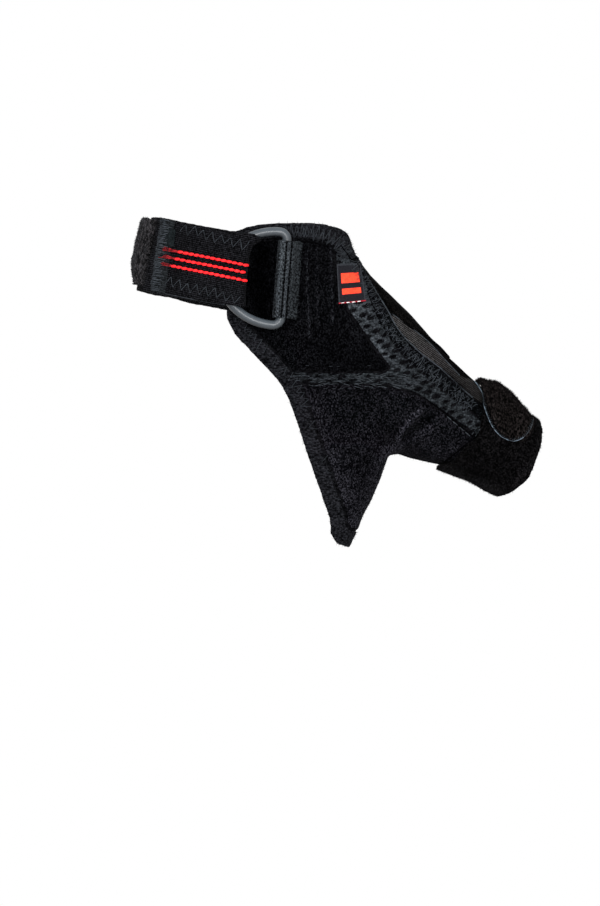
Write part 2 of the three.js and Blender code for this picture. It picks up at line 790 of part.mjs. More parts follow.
// The webbing: from its tail under the bar, round the bar and back over the tail.
const webbingRadius = ringWire / 2 + clearance + webbingThickness / 2;
function webbingStation(x, y, level) {
  const depthAt = (side) => {
    const tilt = THREE.MathUtils.degToRad(ringTilt);
    const z = (side * webbingWidth) / 2;
    const worldX = ringSide + x * Math.cos(tilt) + z * Math.sin(tilt);
    return backDepthAt(worldX, ringLevel + z * Math.cos(tilt), level);
  };
  if (level === undefined) return { x, y, width: webbingWidth };
  const middle = (depthAt(-1) + depthAt(1)) / 2;
  return { x, y: middle, low: depthAt(-1) - middle, high: depthAt(1) - middle, width: webbingWidth };
}
const tailLevel = coverOuter + webbingEase + webbingThickness / 2;
const tailGap = webbingThickness + clearance;
const webbingStations = [
  webbingStation(webbingTail, 0, tailLevel),
  webbingStation(webbingTail * 0.6, 0, tailLevel),
  webbingStation(webbingTail * 0.25, 0, tailLevel),
  ...Array.from({ length: 11 }, (_, i) => {
    const angle = Math.PI / 2 + (1.22 * Math.PI * i) / 10;
    return webbingStation(
      webbingRadius * Math.cos(angle),
      barDepth + webbingRadius * Math.sin(angle),
    );
  }),
  webbingStation(webbingTail * 0.7, 0, tailLevel + tailGap + 0.5),
  webbingStation(webbingTail, 0, tailLevel + tailGap),
];
const ringWebbing = placed(bandGeometry(webbingStations, webbingThickness), ringTilt, ringSide, ringLevel);

const group = new THREE.Group();
function addNode(name, solid, color, roughness, metalness = 0) {
  const material = new THREE.MeshStandardMaterial({ color, roughness, metalness });
  const mesh = new THREE.Mesh(geometryOf(solid), material);
  mesh.name = name;
  group.add(mesh);
}

addNode("hand_shell", handShell, "#1a1a1e", 0.95);
addNode("wrist_patch", wristPatch, "#111116", 1);
addNode("hand_patch", handPatch, "#111116", 1);
addNode("mesh_panel", meshPanel, "#33383d", 0.9);
addNode("seam_tape", seamTape, "#1e2124", 0.9);
addNode("stay_pocket", stayPocket, "#2a2725", 0.85);
addNode("side_panel", sidePanel, "#0f0f13", 1);
addNode("edge_binding", edgeBinding, "#1f1f24", 0.9);
addNode("label", label, "#17181a", 0.8);
addNode("thumb_cuff", thumbCuff, "#111116", 1);
addNode("thumb_tab", thumbTab, "#131318", 1);
addNode("wrist_strap", wristStrap, "#15151a", 0.9);
addNode("strap_end_tab", strapEndTab, "#131317", 1);
addNode("d_ring", dRing, "#5c6166", 0.4, 0.6);
addNode("ring_webbing", ringWebbing, "#3a3f43", 0.85);

export default group;
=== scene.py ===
import math
import random

import bmesh
import bpy
import numpy as np
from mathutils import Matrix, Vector, kdtree, noise
from mathutils.bvhtree import BVHTree


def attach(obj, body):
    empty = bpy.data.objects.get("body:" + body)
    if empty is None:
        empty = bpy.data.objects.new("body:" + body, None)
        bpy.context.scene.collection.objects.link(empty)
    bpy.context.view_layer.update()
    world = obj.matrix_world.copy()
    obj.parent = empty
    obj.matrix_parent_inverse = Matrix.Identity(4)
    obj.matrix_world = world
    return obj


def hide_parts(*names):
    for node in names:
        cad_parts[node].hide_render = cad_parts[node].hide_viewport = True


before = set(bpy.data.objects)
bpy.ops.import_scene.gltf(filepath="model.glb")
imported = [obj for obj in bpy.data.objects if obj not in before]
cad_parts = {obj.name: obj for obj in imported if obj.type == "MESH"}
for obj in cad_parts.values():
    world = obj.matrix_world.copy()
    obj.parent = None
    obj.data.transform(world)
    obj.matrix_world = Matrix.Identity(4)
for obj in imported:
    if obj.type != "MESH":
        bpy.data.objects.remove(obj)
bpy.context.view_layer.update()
random.seed(7)
mm = 0.001


def newObject(name, data):
    made = bpy.data.objects.new(name, data)
    bpy.context.scene.collection.objects.link(made)
    return made


# camera: a long lens, level with the front
view = {"distance": 3.2, "aimX": 18.4, "aimZ": -61.6, "sharpPlane": -12, "pixelsPerMm": 3.1, "longSide": 906}
view["sensor"] = 36
camera = newObject("camera", bpy.data.cameras.new("camera"))
camera.location = (view["aimX"] * mm, -view["distance"], view["aimZ"] * mm)
camera.rotation_euler = (math.radians(90), 0, 0)
camera.data.sensor_width = view["sensor"]
seenHeight = view["longSide"] / view["pixelsPerMm"]
camera.data.lens = view["sensor"] * (view["distance"] / mm + view["sharpPlane"]) / seenHeight
camera.data.clip_start, camera.data.clip_end = 0.01, 50
bpy.context.scene.camera = camera


# finishes: every cloth has its own weave, drift of tone and bump
def newMaterial():
    material = bpy.data.materials.new("finish")
    material.use_nodes = True
    net = material.node_tree
    shader = net.nodes["Principled BSDF"]
    coords = net.nodes.new("ShaderNodeTexCoord")
    return material, net, shader, coords


def mapped(net, coords, turn=(0, 0, 0), stretch=(1, 1, 1)):
    mapping = net.nodes.new("ShaderNodeMapping")
    mapping.inputs["Rotation"].default_value = turn
    mapping.inputs["Scale"].default_value = stretch
    net.links.new(coords.outputs["Object"], mapping.inputs["Vector"])
    return mapping.outputs["Vector"]


def noiseOf(net, coords, scale, detail=3.0, rough=0.6, turn=(0, 0, 0), stretch=(1, 1, 1)):
    texture = net.nodes.new("ShaderNodeTexNoise")
    texture.inputs["Scale"].default_value = scale
    texture.inputs["Detail"].default_value = detail
    texture.inputs["Roughness"].default_value = rough
    net.links.new(mapped(net, coords, turn, stretch), texture.inputs["Vector"])
    return texture.outputs["Fac"]


def rampOf(net, source, stops):
    ramp = net.nodes.new("ShaderNodeValToRGB")
    ramp.color_ramp.elements[0].position = stops[0][0]
    ramp.color_ramp.elements[0].color = (*stops[0][1], 1)
    ramp.color_ramp.elements[1].position = stops[-1][0]
    ramp.color_ramp.elements[1].color = (*stops[-1][1], 1)
    for place, color in stops[1:-1]:
        ramp.color_ramp.elements.new(place).color = (*color, 1)
    net.links.new(source, ramp.inputs["Fac"])
    return ramp.outputs["Color"]


def greyRamp(net, source, low, high, fromLow=0.3, toHigh=0.7):
    return rampOf(net, source, [(fromLow, (low,) * 3), (toHigh, (high,) * 3)])


def mixOf(net, kind, share, first, second):
    mix = net.nodes.new("ShaderNodeMix")
    mix.data_type = "RGBA"
    mix.blend_type = kind
    if isinstance(share, float):
        mix.inputs["Factor"].default_value = share
    else:
        net.links.new(share, mix.inputs["Factor"])
    for source, socket in ((first, mix.inputs["A"]), (second, mix.inputs["B"])):
        if isinstance(source, tuple):
            socket.default_value = (*source, 1)
        else:
            net.links.new(source, socket)
    return mix.outputs["Result"]


def shaded(net, color, source, *ramp):
    return mixOf(net, "MULTIPLY", 1.0, color, greyRamp(net, source, *ramp))


def bumpOf(net, height, strength, depth, below=None):
    bump = net.nodes.new("ShaderNodeBump")
    bump.inputs["Strength"].default_value = strength
    bump.inputs["Distance"].default_value = depth * mm
    net.links.new(height, bump.inputs["Height"])
    if below:
        net.links.new(below, bump.inputs["Normal"])
    return bump.outputs["Normal"]


def waveOf(net, coords, pitch, turn, distortion=0.0):
    oneBand = 0.314159  # scale at which a band takes one metre
    wave = net.nodes.new("ShaderNodeTexWave")
    wave.wave_profile = "SIN"
    wave.bands_direction = "X"
    wave.inputs["Scale"].default_value = oneBand / (pitch * mm)
    wave.inputs["Distortion"].default_value = distortion
    wave.inputs["Detail"].default_value = 1
    net.links.new(mapped(net, coords, turn), wave.inputs["Vector"])
    return wave.outputs["Color"]


def dullCloth(shader, rough, specular, sheen):
    shader.inputs["Roughness"].default_value = rough
    shader.inputs["Specular IOR Level"].default_value = specular
    shader.inputs["Sheen Weight"].default_value = sheen
    shader.inputs["Sheen Roughness"].default_value = 0.4


def withPaintedLight(net, color):
    # painted highlights and painted shade, kept in the piece's own attribute, multiply its colour
    paintedLight = net.nodes.new("ShaderNodeAttribute")
    paintedLight.attribute_name = "paintedLight"
    return mixOf(net, "MULTIPLY", 1.0, color, paintedLight.outputs["Color"])


def velour(dark, light, grain=2400, sheen=0.006, lean=0.0, upright=0.8):
    # a brushed loop face: tiny loops, some of which catch the light, over clumps and broad drifts
    material, net, shader, coords = newMaterial()
    loops = net.nodes.new("ShaderNodeTexVoronoi")
    loops.inputs["Scale"].default_value = grain
    net.links.new(mapped(net, coords, (0, lean, 0), (1, 1, upright)), loops.inputs["Vector"])
    clumps = noiseOf(net, coords, grain / 1.1, 2.0, 0.6, (0, lean, 0), (1, 1, upright))
    drifts = noiseOf(net, coords, 90, 3.0, 0.6)
    middle = tuple(0.8 * d + 0.2 * l for d, l in zip(dark, light))
    color = rampOf(net, loops.outputs["Color"], [(0.35, dark), (0.55, middle), (0.8, light)])
    color = shaded(net, color, clumps, 0.35, 1.65, 0.32, 0.7)
    color = shaded(net, color, drifts, 0.7, 1.3)
    net.links.new(withPaintedLight(net, color), shader.inputs["Base Color"])
    dullCloth(shader, 0.95, 0.0, sheen)
    coarse = bumpOf(net, clumps, 0.4, 0.15)
    net.links.new(bumpOf(net, loops.outputs["Distance"], 0.4, 0.15, coarse), shader.inputs["Normal"])
    return material


def woven(dark, light, pitch, tilt, depth=0.2, across=0.0, grain=1600,
          speckle=(0.3, 1.6, 0.34, 0.68), sheen=0.006, specular=0.01, paintedLights=True):
    # straight ribs at a slant, crossed by weft where across gives its pitch
    material, net, shader, coords = newMaterial()
    ribs = waveOf(net, coords, pitch, (0, math.radians(90 + tilt), 0), distortion=0.4)
    fibre = noiseOf(net, coords, grain, 3.0, 0.65)
    drift = noiseOf(net, coords, 90, 2.0, 0.5)
    color = rampOf(net, ribs, [(0.1, dark), (0.9, light)])
    color = shaded(net, color, fibre, *speckle)
    color = shaded(net, color, drift, 0.75, 1.2)
    normal = bumpOf(net, ribs, 0.8, depth)
    if across:
        weft = waveOf(net, coords, across, (0, math.radians(tilt), 0), distortion=0.4)
        color = shaded(net, color, weft, 0.65, 1.15, 0.1, 0.8)
        normal = bumpOf(net, weft, 0.7, depth, normal)
    net.links.new(withPaintedLight(net, color) if paintedLights else color, shader.inputs["Base Color"])
    dullCloth(shader, 0.85, specular, sheen)
    net.links.new(bumpOf(net, fibre, 0.6, 0.2, normal), shader.inputs["Normal"])
    return material


def knit(dark, light, grain=1400, speckle=(0.25, 1.7, 0.34, 0.7), sheen=0.006, holes=None):
    # small knitted cells with loose fibres, and painted shade, near black, in the sunken openings where an
    # attribute marks them
    material, net, shader, coords = newMaterial()
    cells = net.nodes.new("ShaderNodeTexVoronoi")
    cells.inputs["Scale"].default_value = grain
    net.links.new(mapped(net, coords, turn=(0, 0.35, 0), stretch=(0.6, 1, 1.3)), cells.inputs["Vector"])
    fibre = noiseOf(net, coords, grain * 1.2, 3.0, 0.65)
    drift = noiseOf(net, coords, 120, 2.0, 0.5)
    color = rampOf(net, cells.outputs["Distance"], [(0.0, light), (0.75, dark)])
    color = shaded(net, color, fibre, *speckle)
    color = shaded(net, color, drift, 0.75, 1.2)
    if holes:
        depth = net.nodes.new("ShaderNodeAttribute")
        depth.attribute_name = holes
        color = mixOf(net, "MIX", depth.outputs["Fac"], color, (0.0005, 0.0005, 0.0006))
    net.links.new(withPaintedLight(net, color), shader.inputs["Base Color"])
    dullCloth(shader, 0.9, 0.0, sheen)
    normal = bumpOf(net, cells.outputs["Distance"], 0.6, -0.3)
    net.links.new(bumpOf(net, fibre, 0.7, 0.25, normal), shader.inputs["Normal"])
    return material


def thread(color, rough=0.6, specular=0.06, twist=900, spread=0.55):
    material, net, shader, coords = newMaterial()
    fibre = noiseOf(net, coords, twist, 2.0, 0.6, turn=(0, 0.6, 0))
    low = tuple((1 - spread) * c for c in color)
    high = tuple(min(1.0, (1 + spread) * c) for c in color)
    net.links.new(rampOf(net, fibre, [(0.33, low), (0.67, high)]), shader.inputs["Base Color"])
    dullCloth(shader, rough, specular, 0.0)
    net.links.new(bumpOf(net, fibre, 0.5, 0.1), shader.inputs["Normal"])
    return material


def moulded(color):
    # smooth plastic with faint clouds
    material, net, shader, coords = newMaterial()
    cloud = noiseOf(net, coords, 220, 3.0, 0.5)
    grain = noiseOf(net, coords, 2600, 2.0, 0.5)
    low = tuple(0.85 * c for c in color)
    high = tuple(1.12 * c for c in color)
    color = withPaintedLight(net, rampOf(net, cloud, [(0.3, low), (0.7, high)]))
    net.links.new(color, shader.inputs["Base Color"])
    net.links.new(greyRamp(net, grain, 0.28, 0.4), shader.inputs["Roughness"])
    shader.inputs["Specular IOR Level"].default_value = 0.3
    net.links.new(bumpOf(net, grain, 0.12, 0.04), shader.inputs["Normal"])
    return material


def wovenLabel(ground, stripe, hemColor, border):
    # a fine weave, coloured where the strip's own attributes mark it
    material, net, shader, coords = newMaterial()
    marks = {}
    for mark in ("stripe", "hem", "border"):
        marks[mark] = net.nodes.new("ShaderNodeAttribute")
        marks[mark].attribute_name = mark
    fibre = noiseOf(net, coords, 2200, 2.0, 0.6)
    weft = waveOf(net, coords, 0.34, (0, math.radians(93), 0))
    color = mixOf(net, "MIX", marks["border"].outputs["Fac"], ground, border)
    color = mixOf(net, "MIX", marks["stripe"].outputs["Fac"], color, stripe)
    color = mixOf(net, "MIX", marks["hem"].outputs["Fac"], color, hemColor)
    color = shaded(net, color, fibre, 0.7, 1.25)
    net.links.new(color, shader.inputs["Base Color"])
    dullCloth(shader, 0.8, 0.03, 0.005)
    net.links.new(bumpOf(net, weft, 0.6, 0.12), shader.inputs["Normal"])
    return material


finish = {
    "shellCloth": knit((0.0012, 0.0012, 0.0015), (0.006, 0.006, 0.007), 1100),
    "velourWrist": velour((0.0002, 0.0002, 0.0003), (0.0045, 0.0047, 0.0056), 3300, upright=0.7),
    "velourHand": velour((0.0004, 0.0004, 0.0006), (0.0092, 0.009, 0.0112), 2800, sheen=0.008, lean=0.5),
    "velourSide": velour((0.0003, 0.0003, 0.0003), (0.004, 0.0035, 0.0035)),
    "velourCuff": velour((0.0003, 0.0003, 0.0003), (0.0046, 0.0043, 0.0047), 3100),
    "velourTab": velour((0.0002, 0.0002, 0.0002), (0.0108, 0.0091, 0.0089), 2800, lean=0.75, upright=0.55),
    "velourEndTab": velour((0.003, 0.0029, 0.0032), (0.036, 0.0335, 0.036), 1900, sheen=0.02),
    "spacerMesh": knit((0.0065, 0.0075, 0.0086), (0.0315, 0.036, 0.0408), 1300,
                       speckle=(0.35, 1.55, 0.34, 0.7), sheen=0.0, holes="hole"),
    "edgeKnit": knit((0.0018, 0.0018, 0.0022), (0.017, 0.0175, 0.0208), 1500),
    "seamKnit": knit((0.0005, 0.0006, 0.0007), (0.0038, 0.0042, 0.005), 1300),
    "pocketRib": woven((0.0027, 0.0026, 0.0026), (0.0345, 0.033, 0.0333), 0.55, -34, 0.2,
                       sheen=0.0, specular=0.0),
    "elastic": woven((0.0013, 0.0013, 0.0016), (0.0075, 0.0075, 0.009), 0.62, 11.5, 0.14,
                     across=0.55, grain=1800, speckle=(0.25, 1.75, 0.42, 0.58)),
    "endTape": woven((0.003, 0.0034, 0.0038), (0.0155, 0.0175, 0.0197), 0.5, 11.5, 0.2, paintedLights=False),
    "tackPatch": woven((0.0042, 0.0054, 0.006), (0.0098, 0.0128, 0.014), 0.4, 101.5, 0.08,
                       grain=900, paintedLights=False),
    "webbing": woven((0.007, 0.0082, 0.0092), (0.033, 0.038, 0.043), 0.42, 4.5, 0.15,
                     grain=1500, speckle=(0.2, 1.75, 0.44, 0.56)),
    "threadLight": thread((0.0215, 0.025, 0.0295)),
    "threadGrey": thread((0.0135, 0.0155, 0.0185)),
    "threadDark": thread((0.0008, 0.0008, 0.001), specular=0.0),
    "threadPale": thread((0.075, 0.098, 0.122), spread=0.8),
    "threadWhite": thread((0.6, 0.55, 0.55)),
    "threadDimRed": thread((0.22, 0.009, 0.012), spread=0.7),
    "threadRed": thread((0.8, 0.018, 0.022), rough=0.5, twist=700, spread=0.3),
    "napBlack": thread((0.005, 0.005, 0.0061), specular=0.0, twist=500, spread=0.9),
    "napBrown": thread((0.0052, 0.0044, 0.0043), specular=0.0, twist=500, spread=0.9),
    "napGrey": thread((0.03, 0.031, 0.035), specular=0.0, twist=500, spread=0.8),
    "ringGrey": moulded((0.026, 0.0315, 0.037)),
    "label": wovenLabel(ground=(0.009, 0.009, 0.0115), stripe=(0.92, 0.055, 0.025),
                        hemColor=(0.25, 0.012, 0.02), border=(0.02, 0.022, 0.026)),
}
for name, material in finish.items():
    material.name = name
print("finishes made")


# cloth made from the frame's own solids
def place(piece, node=None, material=None, slot=None):
    bpy.context.scene.collection.objects.link(piece)
    if material:
        piece.data.materials.clear()
        piece.data.materials.append(finish[material])
    piece.data.polygons.foreach_set("use_smooth", [True] * len(piece.data.polygons))
    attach(piece, "root")
    if node:
        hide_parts(node)
    return piece


def evaluatedMesh(source):
    bpy.context.view_layer.update()
    return bpy.data.meshes.new_from_object(source.evaluated_get(bpy.context.evaluated_depsgraph_get()))


def clothCopy(node, name, voxel, relax, material):
    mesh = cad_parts[node].data.copy()
    work = bmesh.new()
    work.from_mesh(mesh)
    bmesh.ops.remove_doubles(work, verts=work.verts, dist=1e-6)
    work.to_mesh(mesh)
    work.free()
    source = newObject(name + "Source", mesh)
    weave = source.modifiers.new("weave", "REMESH")
    weave.mode = "VOXEL"
    weave.voxel_size = voxel * mm
    ease = source.modifiers.new("ease", "SMOOTH")
    ease.factor = 0.5
    ease.iterations = relax
    piece = bpy.data.objects.new(name, evaluatedMesh(source))
    piece.data.name = name
    bpy.data.objects.remove(source)
    bpy.data.meshes.remove(mesh)
    place(piece, node, material)
    print(f"{name}: {len(piece.data.polygons)} faces")
    return piece


def pointsOf(piece):
    count = len(piece.data.vertices)
    flat = np.zeros(count * 3, np.float32)
    piece.data.vertices.foreach_get("co", flat)
    normals = np.zeros(count * 3, np.float32)
    piece.data.vertex_normals.foreach_get("vector", normals)
    return flat.reshape(-1, 3) / mm, normals.reshape(-1, 3)


def putPoints(piece, points):
    piece.data.vertices.foreach_set("co", (points * mm).astype(np.float32).ravel())
    piece.data.update()


def markPoints(piece, name, values):
    layer = piece.data.attributes.get(name) or piece.data.attributes.new(name, "FLOAT", "POINT")
    layer.data.foreach_set("value", values.astype(np.float32))


def curveThrough(points, spacing):
    # a smooth curve through the points, cut in short steps
    made = []
    rows = [Vector(p) for p in points]
    for i in range(len(rows) - 1):
        before, here = rows[max(i - 1, 0)], rows[i]
        after, later = rows[i + 1], rows[min(i + 2, len(rows) - 1)]
        steps = max(1, round((after - here).length / spacing))
        slopeIn, slopeOut = (after - before) / 2, (later - here) / 2
        bend = 2 * here - 2 * after + slopeIn + slopeOut
        sway = -3 * here + 3 * after - 2 * slopeIn - slopeOut
        for k in range(steps):
            s = k / steps
            made.append(bend * s**3 + sway * s**2 + slopeIn * s + here)
    return made + [rows[-1]]


def evenPath(line, spacing):
    # points at even steps along a line drawn on the front
    fine = curveThrough([(x, z, 0) for x, z in line], 0.12)
    made, need = [fine[0]], spacing
    for a, b in zip(fine, fine[1:]):
        step = (b - a).length
        while need <= step:
            made.append(a.lerp(b, need / step))
            need += spacing
        need -= step
    return made


frontSide = {"start": 3, "slope": 0.18, "facing": -0.05}  # what counts as the front


def nearness(points, normals, line, reach):
    # 1 on a line drawn over the front of the cloth, fading to 0 at reach
    path = curveThrough([(x, 0, z) for x, z in line], 0.4)
    tree = kdtree.KDTree(len(path))
    for i, p in enumerate(path):
        tree.insert(p, i)
    tree.balance()
    flat = points[:, [0, 2]]
    low = np.array([min(p[k] for p in path) - reach for k in (0, 2)])
    high = np.array([max(p[k] for p in path) + reach for k in (0, 2)])
    front = points[:, 1] < frontSide["start"] + frontSide["slope"] * points[:, 0]
    front &= normals[:, 1] < frontSide["facing"]
    share = np.zeros(len(points))
    for i in np.nonzero(front & (flat > low).all(1) & (flat < high).all(1))[0]:
        distance = tree.find((points[i][0], 0, points[i][2]))[2]
        if distance < reach:
            share[i] = 0.5 + 0.5 * math.cos(math.pi * distance / reach)
    return share


def raiseAlong(piece, line, reach, lift):
    points, normals = pointsOf(piece)
    putPoints(piece, points + normals * (nearness(points, normals, line, reach) * lift)[:, None])


def ripple(piece, size, lift, seed):
    points, normals = pointsOf(piece)
    out = np.array([noise.noise(Vector(p) / size + Vector((seed, 0, 0))) for p in points.astype(float)])
    putPoints(piece, points + normals * (out * lift)[:, None])


weaves = (  # node, piece, weave size, easing passes, finish
    ("hand_shell", "handShell", 0.9, 5, "shellCloth"),
    ("wrist_patch", "wristPatch", 0.42, 5, "velourWrist"),
    ("hand_patch", "handPatch", 0.6, 5, "velourHand"),
    ("mesh_panel", "meshPanel", 0.27, 6, "spacerMesh"),
    ("seam_tape", "seamTape", 0.36, 5, "seamKnit"),
    ("stay_pocket", "stayPocket", 0.32, 7, "pocketRib"),
    ("side_panel", "sidePanel", 0.42, 5, "velourSide"),
    ("edge_binding", "edgeBinding", 0.42, 5, "edgeKnit"),
    ("thumb_cuff", "thumbCuff", 0.5, 8, "velourCuff"),
    ("thumb_tab", "thumbTab", 0.42, 7, "velourTab"),
    ("wrist_strap", "wristStrap", 0.54, 4, "elastic"),
    ("strap_end_tab", "strapEndTab", 0.5, 8, "velourEndTab"),
    ("ring_webbing", "ringWebbing", 0.3, 4, "webbing"),
)
cloth = {name: clothCopy(node, name, voxel, relax, material) for node, name, voxel, relax, material in weaves}

# soft waves and fine unevenness
waves = (  # piece, size, lift, seed
    ("handPatch", 8.0, 0.4, 1.0),
    ("handPatch", 1.1, 0.06, 2.0),
    ("wristPatch", 6.0, 0.35, 5.0),
    ("wristPatch", 1.0, 0.05, 6.0),
    ("sidePanel", 6.0, 0.3, 9.0),
    ("thumbCuff", 7.0, 0.5, 13.0),
    ("thumbCuff", 1.1, 0.06, 14.0),
    ("thumbTab", 5.0, 0.3, 17.0),
    ("thumbTab", 0.8, 0.08, 18.0),
    ("strapEndTab", 4.5, 0.5, 21.0),
    ("strapEndTab", 1.1, 0.3, 22.0),
    ("edgeBinding", 1.8, 0.18, 25.0),
    ("seamTape", 1.4, 0.22, 27.0),
    ("wristStrap", 9.0, 0.4, 31.0),
    ("wristStrap", 1.3, 0.1, 32.0),
    ("ringWebbing", 1.0, 0.12, 35.0),
)
for name, size, lift, seed in waves:
    ripple(cloth[name], size, lift, seed)


def push(names, middle, reach, shift):
    # ease the cloth over round a place, fading out at reach
    for name in names:
        points, normals = pointsOf(cloth[name])
        share = np.clip(1 - np.linalg.norm(points - middle, axis=1) / reach, 0, 1)
        putPoints(cloth[name], points + (share * share * (3 - 2 * share))[:, None] * np.array(shift))


# the foam under the covers swells into the seams between them
swelling = {"near": 1.4, "facing": 0.75, "lift": 0.75, "passes": 4, "spread": 0.6}
covers = bmesh.new()
for name in ("wristPatch", "handPatch", "meshPanel", "seamTape", "stayPocket", "sidePanel", "edgeBinding"):
    covers.from_mesh(cloth[name].data)
coverTree = BVHTree.FromBMesh(covers)
covers.free()
shell = cloth["handShell"]
points, normals = pointsOf(shell)
swell = np.zeros(len(points))
for i, p in enumerate(points.astype(float)):
    spot = coverTree.find_nearest(Vector(p) * mm, swelling["near"] * mm)[0]
    if spot is not None and (spot - Vector(p) * mm).normalized().dot(Vector(normals[i])) > swelling["facing"]:
        swell[i] = swelling["lift"]
sides = np.zeros(len(shell.data.edges) * 2, np.int32)
shell.data.edges.foreach_get("vertices", sides)
first, second = sides.reshape(-1, 2).T
for _ in range(swelling["passes"]):
    total, count = np.zeros(len(swell)), np.zeros(len(swell))
    for a, b in ((first, second), (second, first)):
        np.add.at(total, a, swell[b])
        np.add.at(count, a, 1)
    swell = (1 - swelling["spread"]) * swell + swelling["spread"] * total / np.maximum(count, 1)
putPoints(shell, points + normals * swell[:, None])

pushes = (  # pieces, middle, reach, shift
    (("handPatch", "sidePanel", "handShell", "stayPocket"), (68.5, 2, -33.5), 13, (0.6, 0, 0.65)),
    (("edgeBinding", "handShell"), (32.5, -9, 7.5), 7, (1.2, 0, 0.5)),
    (("edgeBinding", "handShell"), (35.5, -4, -87.4), 5, (0.9, 0, 0.1)),
    (("thumbCuff", "handShell", "handPatch"), (92, 10, -70), 12, (1.1, 0, -0.6)),
    (("thumbCuff", "handShell", "handPatch"), (70, 16, -70), 9, (0.1, 0, 0.4)),
    (("thumbTab",), (77, 8, -36.5), 7, (-1.8, 0, -1.4)),
    (("thumbTab",), (81, 9, -38.5), 6, (0.2, 0, 0.6)),
    (("thumbTab",), (86, 13, -42.5), 12, (0.6, 0, 0.9)),
    (("thumbTab",), (82, 6, -40), 7, (0.5, 0, 0.8)),
    (("sidePanel", "handShell"), (51.6, 0, -16.5), 15, (0.45, 0, 0.5)),
    (("edgeBinding", "handShell"), (20, -8, 12.6), 16, (0, 0, 0.7)),
    (("edgeBinding", "handShell"), (20, -5, -53), 15, (-0.6, 0, 0)),
    (("edgeBinding", "handShell"), (37, -4, -88.5), 6, (-0.6, 0, 0)),
)
for names, middle, reach, shift in pushes:
    push(names, middle, reach, shift)

# folds at the foot of the thumb sleeve
folds = {
    "palmRidge": [(47.9, -61.2), (49.6, -57.6), (51.6, -54), (54.2, -50.6), (57, -48)],
    "thumbRidge": [(49.6, -60.4), (53.4, -57.8), (56.8, -55.8), (60.3, -54)],
    "hollow": [(52.6, -58), (54.8, -55), (57.4, -52.2), (60.2, -50)],
    "webEdge": [(47, -62), (43.6, -70), (40, -78), (36, -86)],
}
hand = cloth["handPatch"]
for piece in (shell, hand):
    raiseAlong(piece, folds["palmRidge"], 2.4, 1.5)
    raiseAlong(piece, folds["thumbRidge"], 2.4, 0.8)
raiseAlong(hand, folds["hollow"], 2.4, -0.4)

# the wrist patch gathers into upright pleats beside the webbing, and seams draw in the edges
pleats = ((20.6, 0.4), (22.2, -0.3), (23.8, 0.35), (26, -0.3), (28.4, 0.4), (29.8, -0.25))
for x, lift in pleats:
    raiseAlong(cloth["wristPatch"], [(x, 5), (x + 0.2, -8), (x + 0.8, -26)], 1.0, lift)
raiseAlong(cloth["wristPatch"], [(14, -33.4), (30, -33.6), (44, -33.2)], 1.0, -0.3)
raiseAlong(hand, [(19, -41), (31, -41), (46, -41)], 1.0, -0.3)
raiseAlong(cloth["edgeBinding"], [(14, 9.3), (22, 8.8), (28, 7), (33, 3.4), (35, 0.5)], 2.4, 0.7)
raiseAlong(cloth["stayPocket"], [(49, -17), (55, -24), (62, -31), (70, -37), (76, -42)], 4.5, 0.9)


def paintLightOn(piece, rows):
    # painted highlights and painted shade on a cloth, as a share of its own colour
    points, normals = pointsOf(piece)
    paintedLight = np.ones(len(points))
    for line, reach, amount in rows:
        paintedLight += nearness(points, normals, line, reach) * amount
    markPoints(piece, "paintedLight", np.clip(paintedLight, 0.1, 4))


# painted highlights along ridges, pleats, rims and edges; painted shade in hollows, under the ring, at the
# pocket's ends and beside the strap's end tape
paintedLights = {  # for each piece: line, reach, change
    "handPatch": (
        (folds["palmRidge"], 1.7, 2.4),
        (folds["thumbRidge"], 2.2, 1.0),
        (folds["hollow"], 3.2, -0.65),
        (folds["webEdge"], 5.0, 1.0),
        ([(22, -46), (27, -62), (31, -76)], 5.0, 0.4),
        ([(30, -66), (33, -74), (34, -82)], 9.0, 0.65),
        ([(58, -54), (66, -60), (74, -64)], 6.0, 0.45),
    ),
    "wristPatch": (
        ([(6, 4), (5.5, -6), (6.5, -18)], 8.0, -0.75),
        ([(20.6, 4), (20.8, -8), (21.4, -24)], 1.0, 1.6),
        ([(23.8, 4), (24, -8), (24.4, -24)], 1.0, 0.9),
        ([(28.4, 4), (28.6, -8), (29, -20)], 1.0, 1.5),
    ),
    "thumbCuff": (([(66, -67), (74, -71), (83, -74)], 3.0, 0.9),
                  ([(88, -72), (94, -64), (97, -56)], 1.6, 0.9)),
    "meshPanel": (([(33, -8), (36, -20), (42, -30)], 12.0, 0.9),
                  ([(18, -38), (34, -38), (48, -38)], 6.0, -0.5)),
    "stayPocket": (([(47, -13), (54, -21), (62, -27)], 9.0, 0.25),
                   ([(66, -40), (72, -45), (77, -49)], 10.0, -0.6)),
    "seamTape": (([(38, 0), (44, -12), (50, -21)], 5.0, 0.3),),
    "strapEndTab": (([(-25.9, 16.5), (-28.5, 4), (-31, -7)], 3.2, -0.88),),
}
for name, piece in cloth.items():
    paintLightOn(piece, paintedLights.get(name, ()))

# behind its far edge the ribbed pocket is painted dark, as painted shade round to the hidden side
pocketFarShade = {"past": 6, "fade": 0.4, "dark": 0.88}
farEdge = [(48.2, -16.8), (55, -21.7), (60.3, -26.1), (64.8, -31), (68.1, -34.5), (70.3, -36.8), (74, -38)]
pocket = cloth["stayPocket"]
points, normals = pointsOf(pocket)
paintedLight = np.zeros(len(points), np.float32)
pocket.data.attributes["paintedLight"].data.foreach_get("value", paintedLight)
edgeAt = np.interp(points[:, 0] - points[:, 2], [x - z for x, z in farEdge], [x + z for x, z in farEdge])
behind = np.maximum(points[:, 0] + points[:, 2] - edgeAt, points[:, 1] - pocketFarShade["past"])
markPoints(pocket, "paintedLight", paintedLight * (1 - pocketFarShade["dark"] * np.clip(behind / pocketFarShade["fade"], 0, 1)))
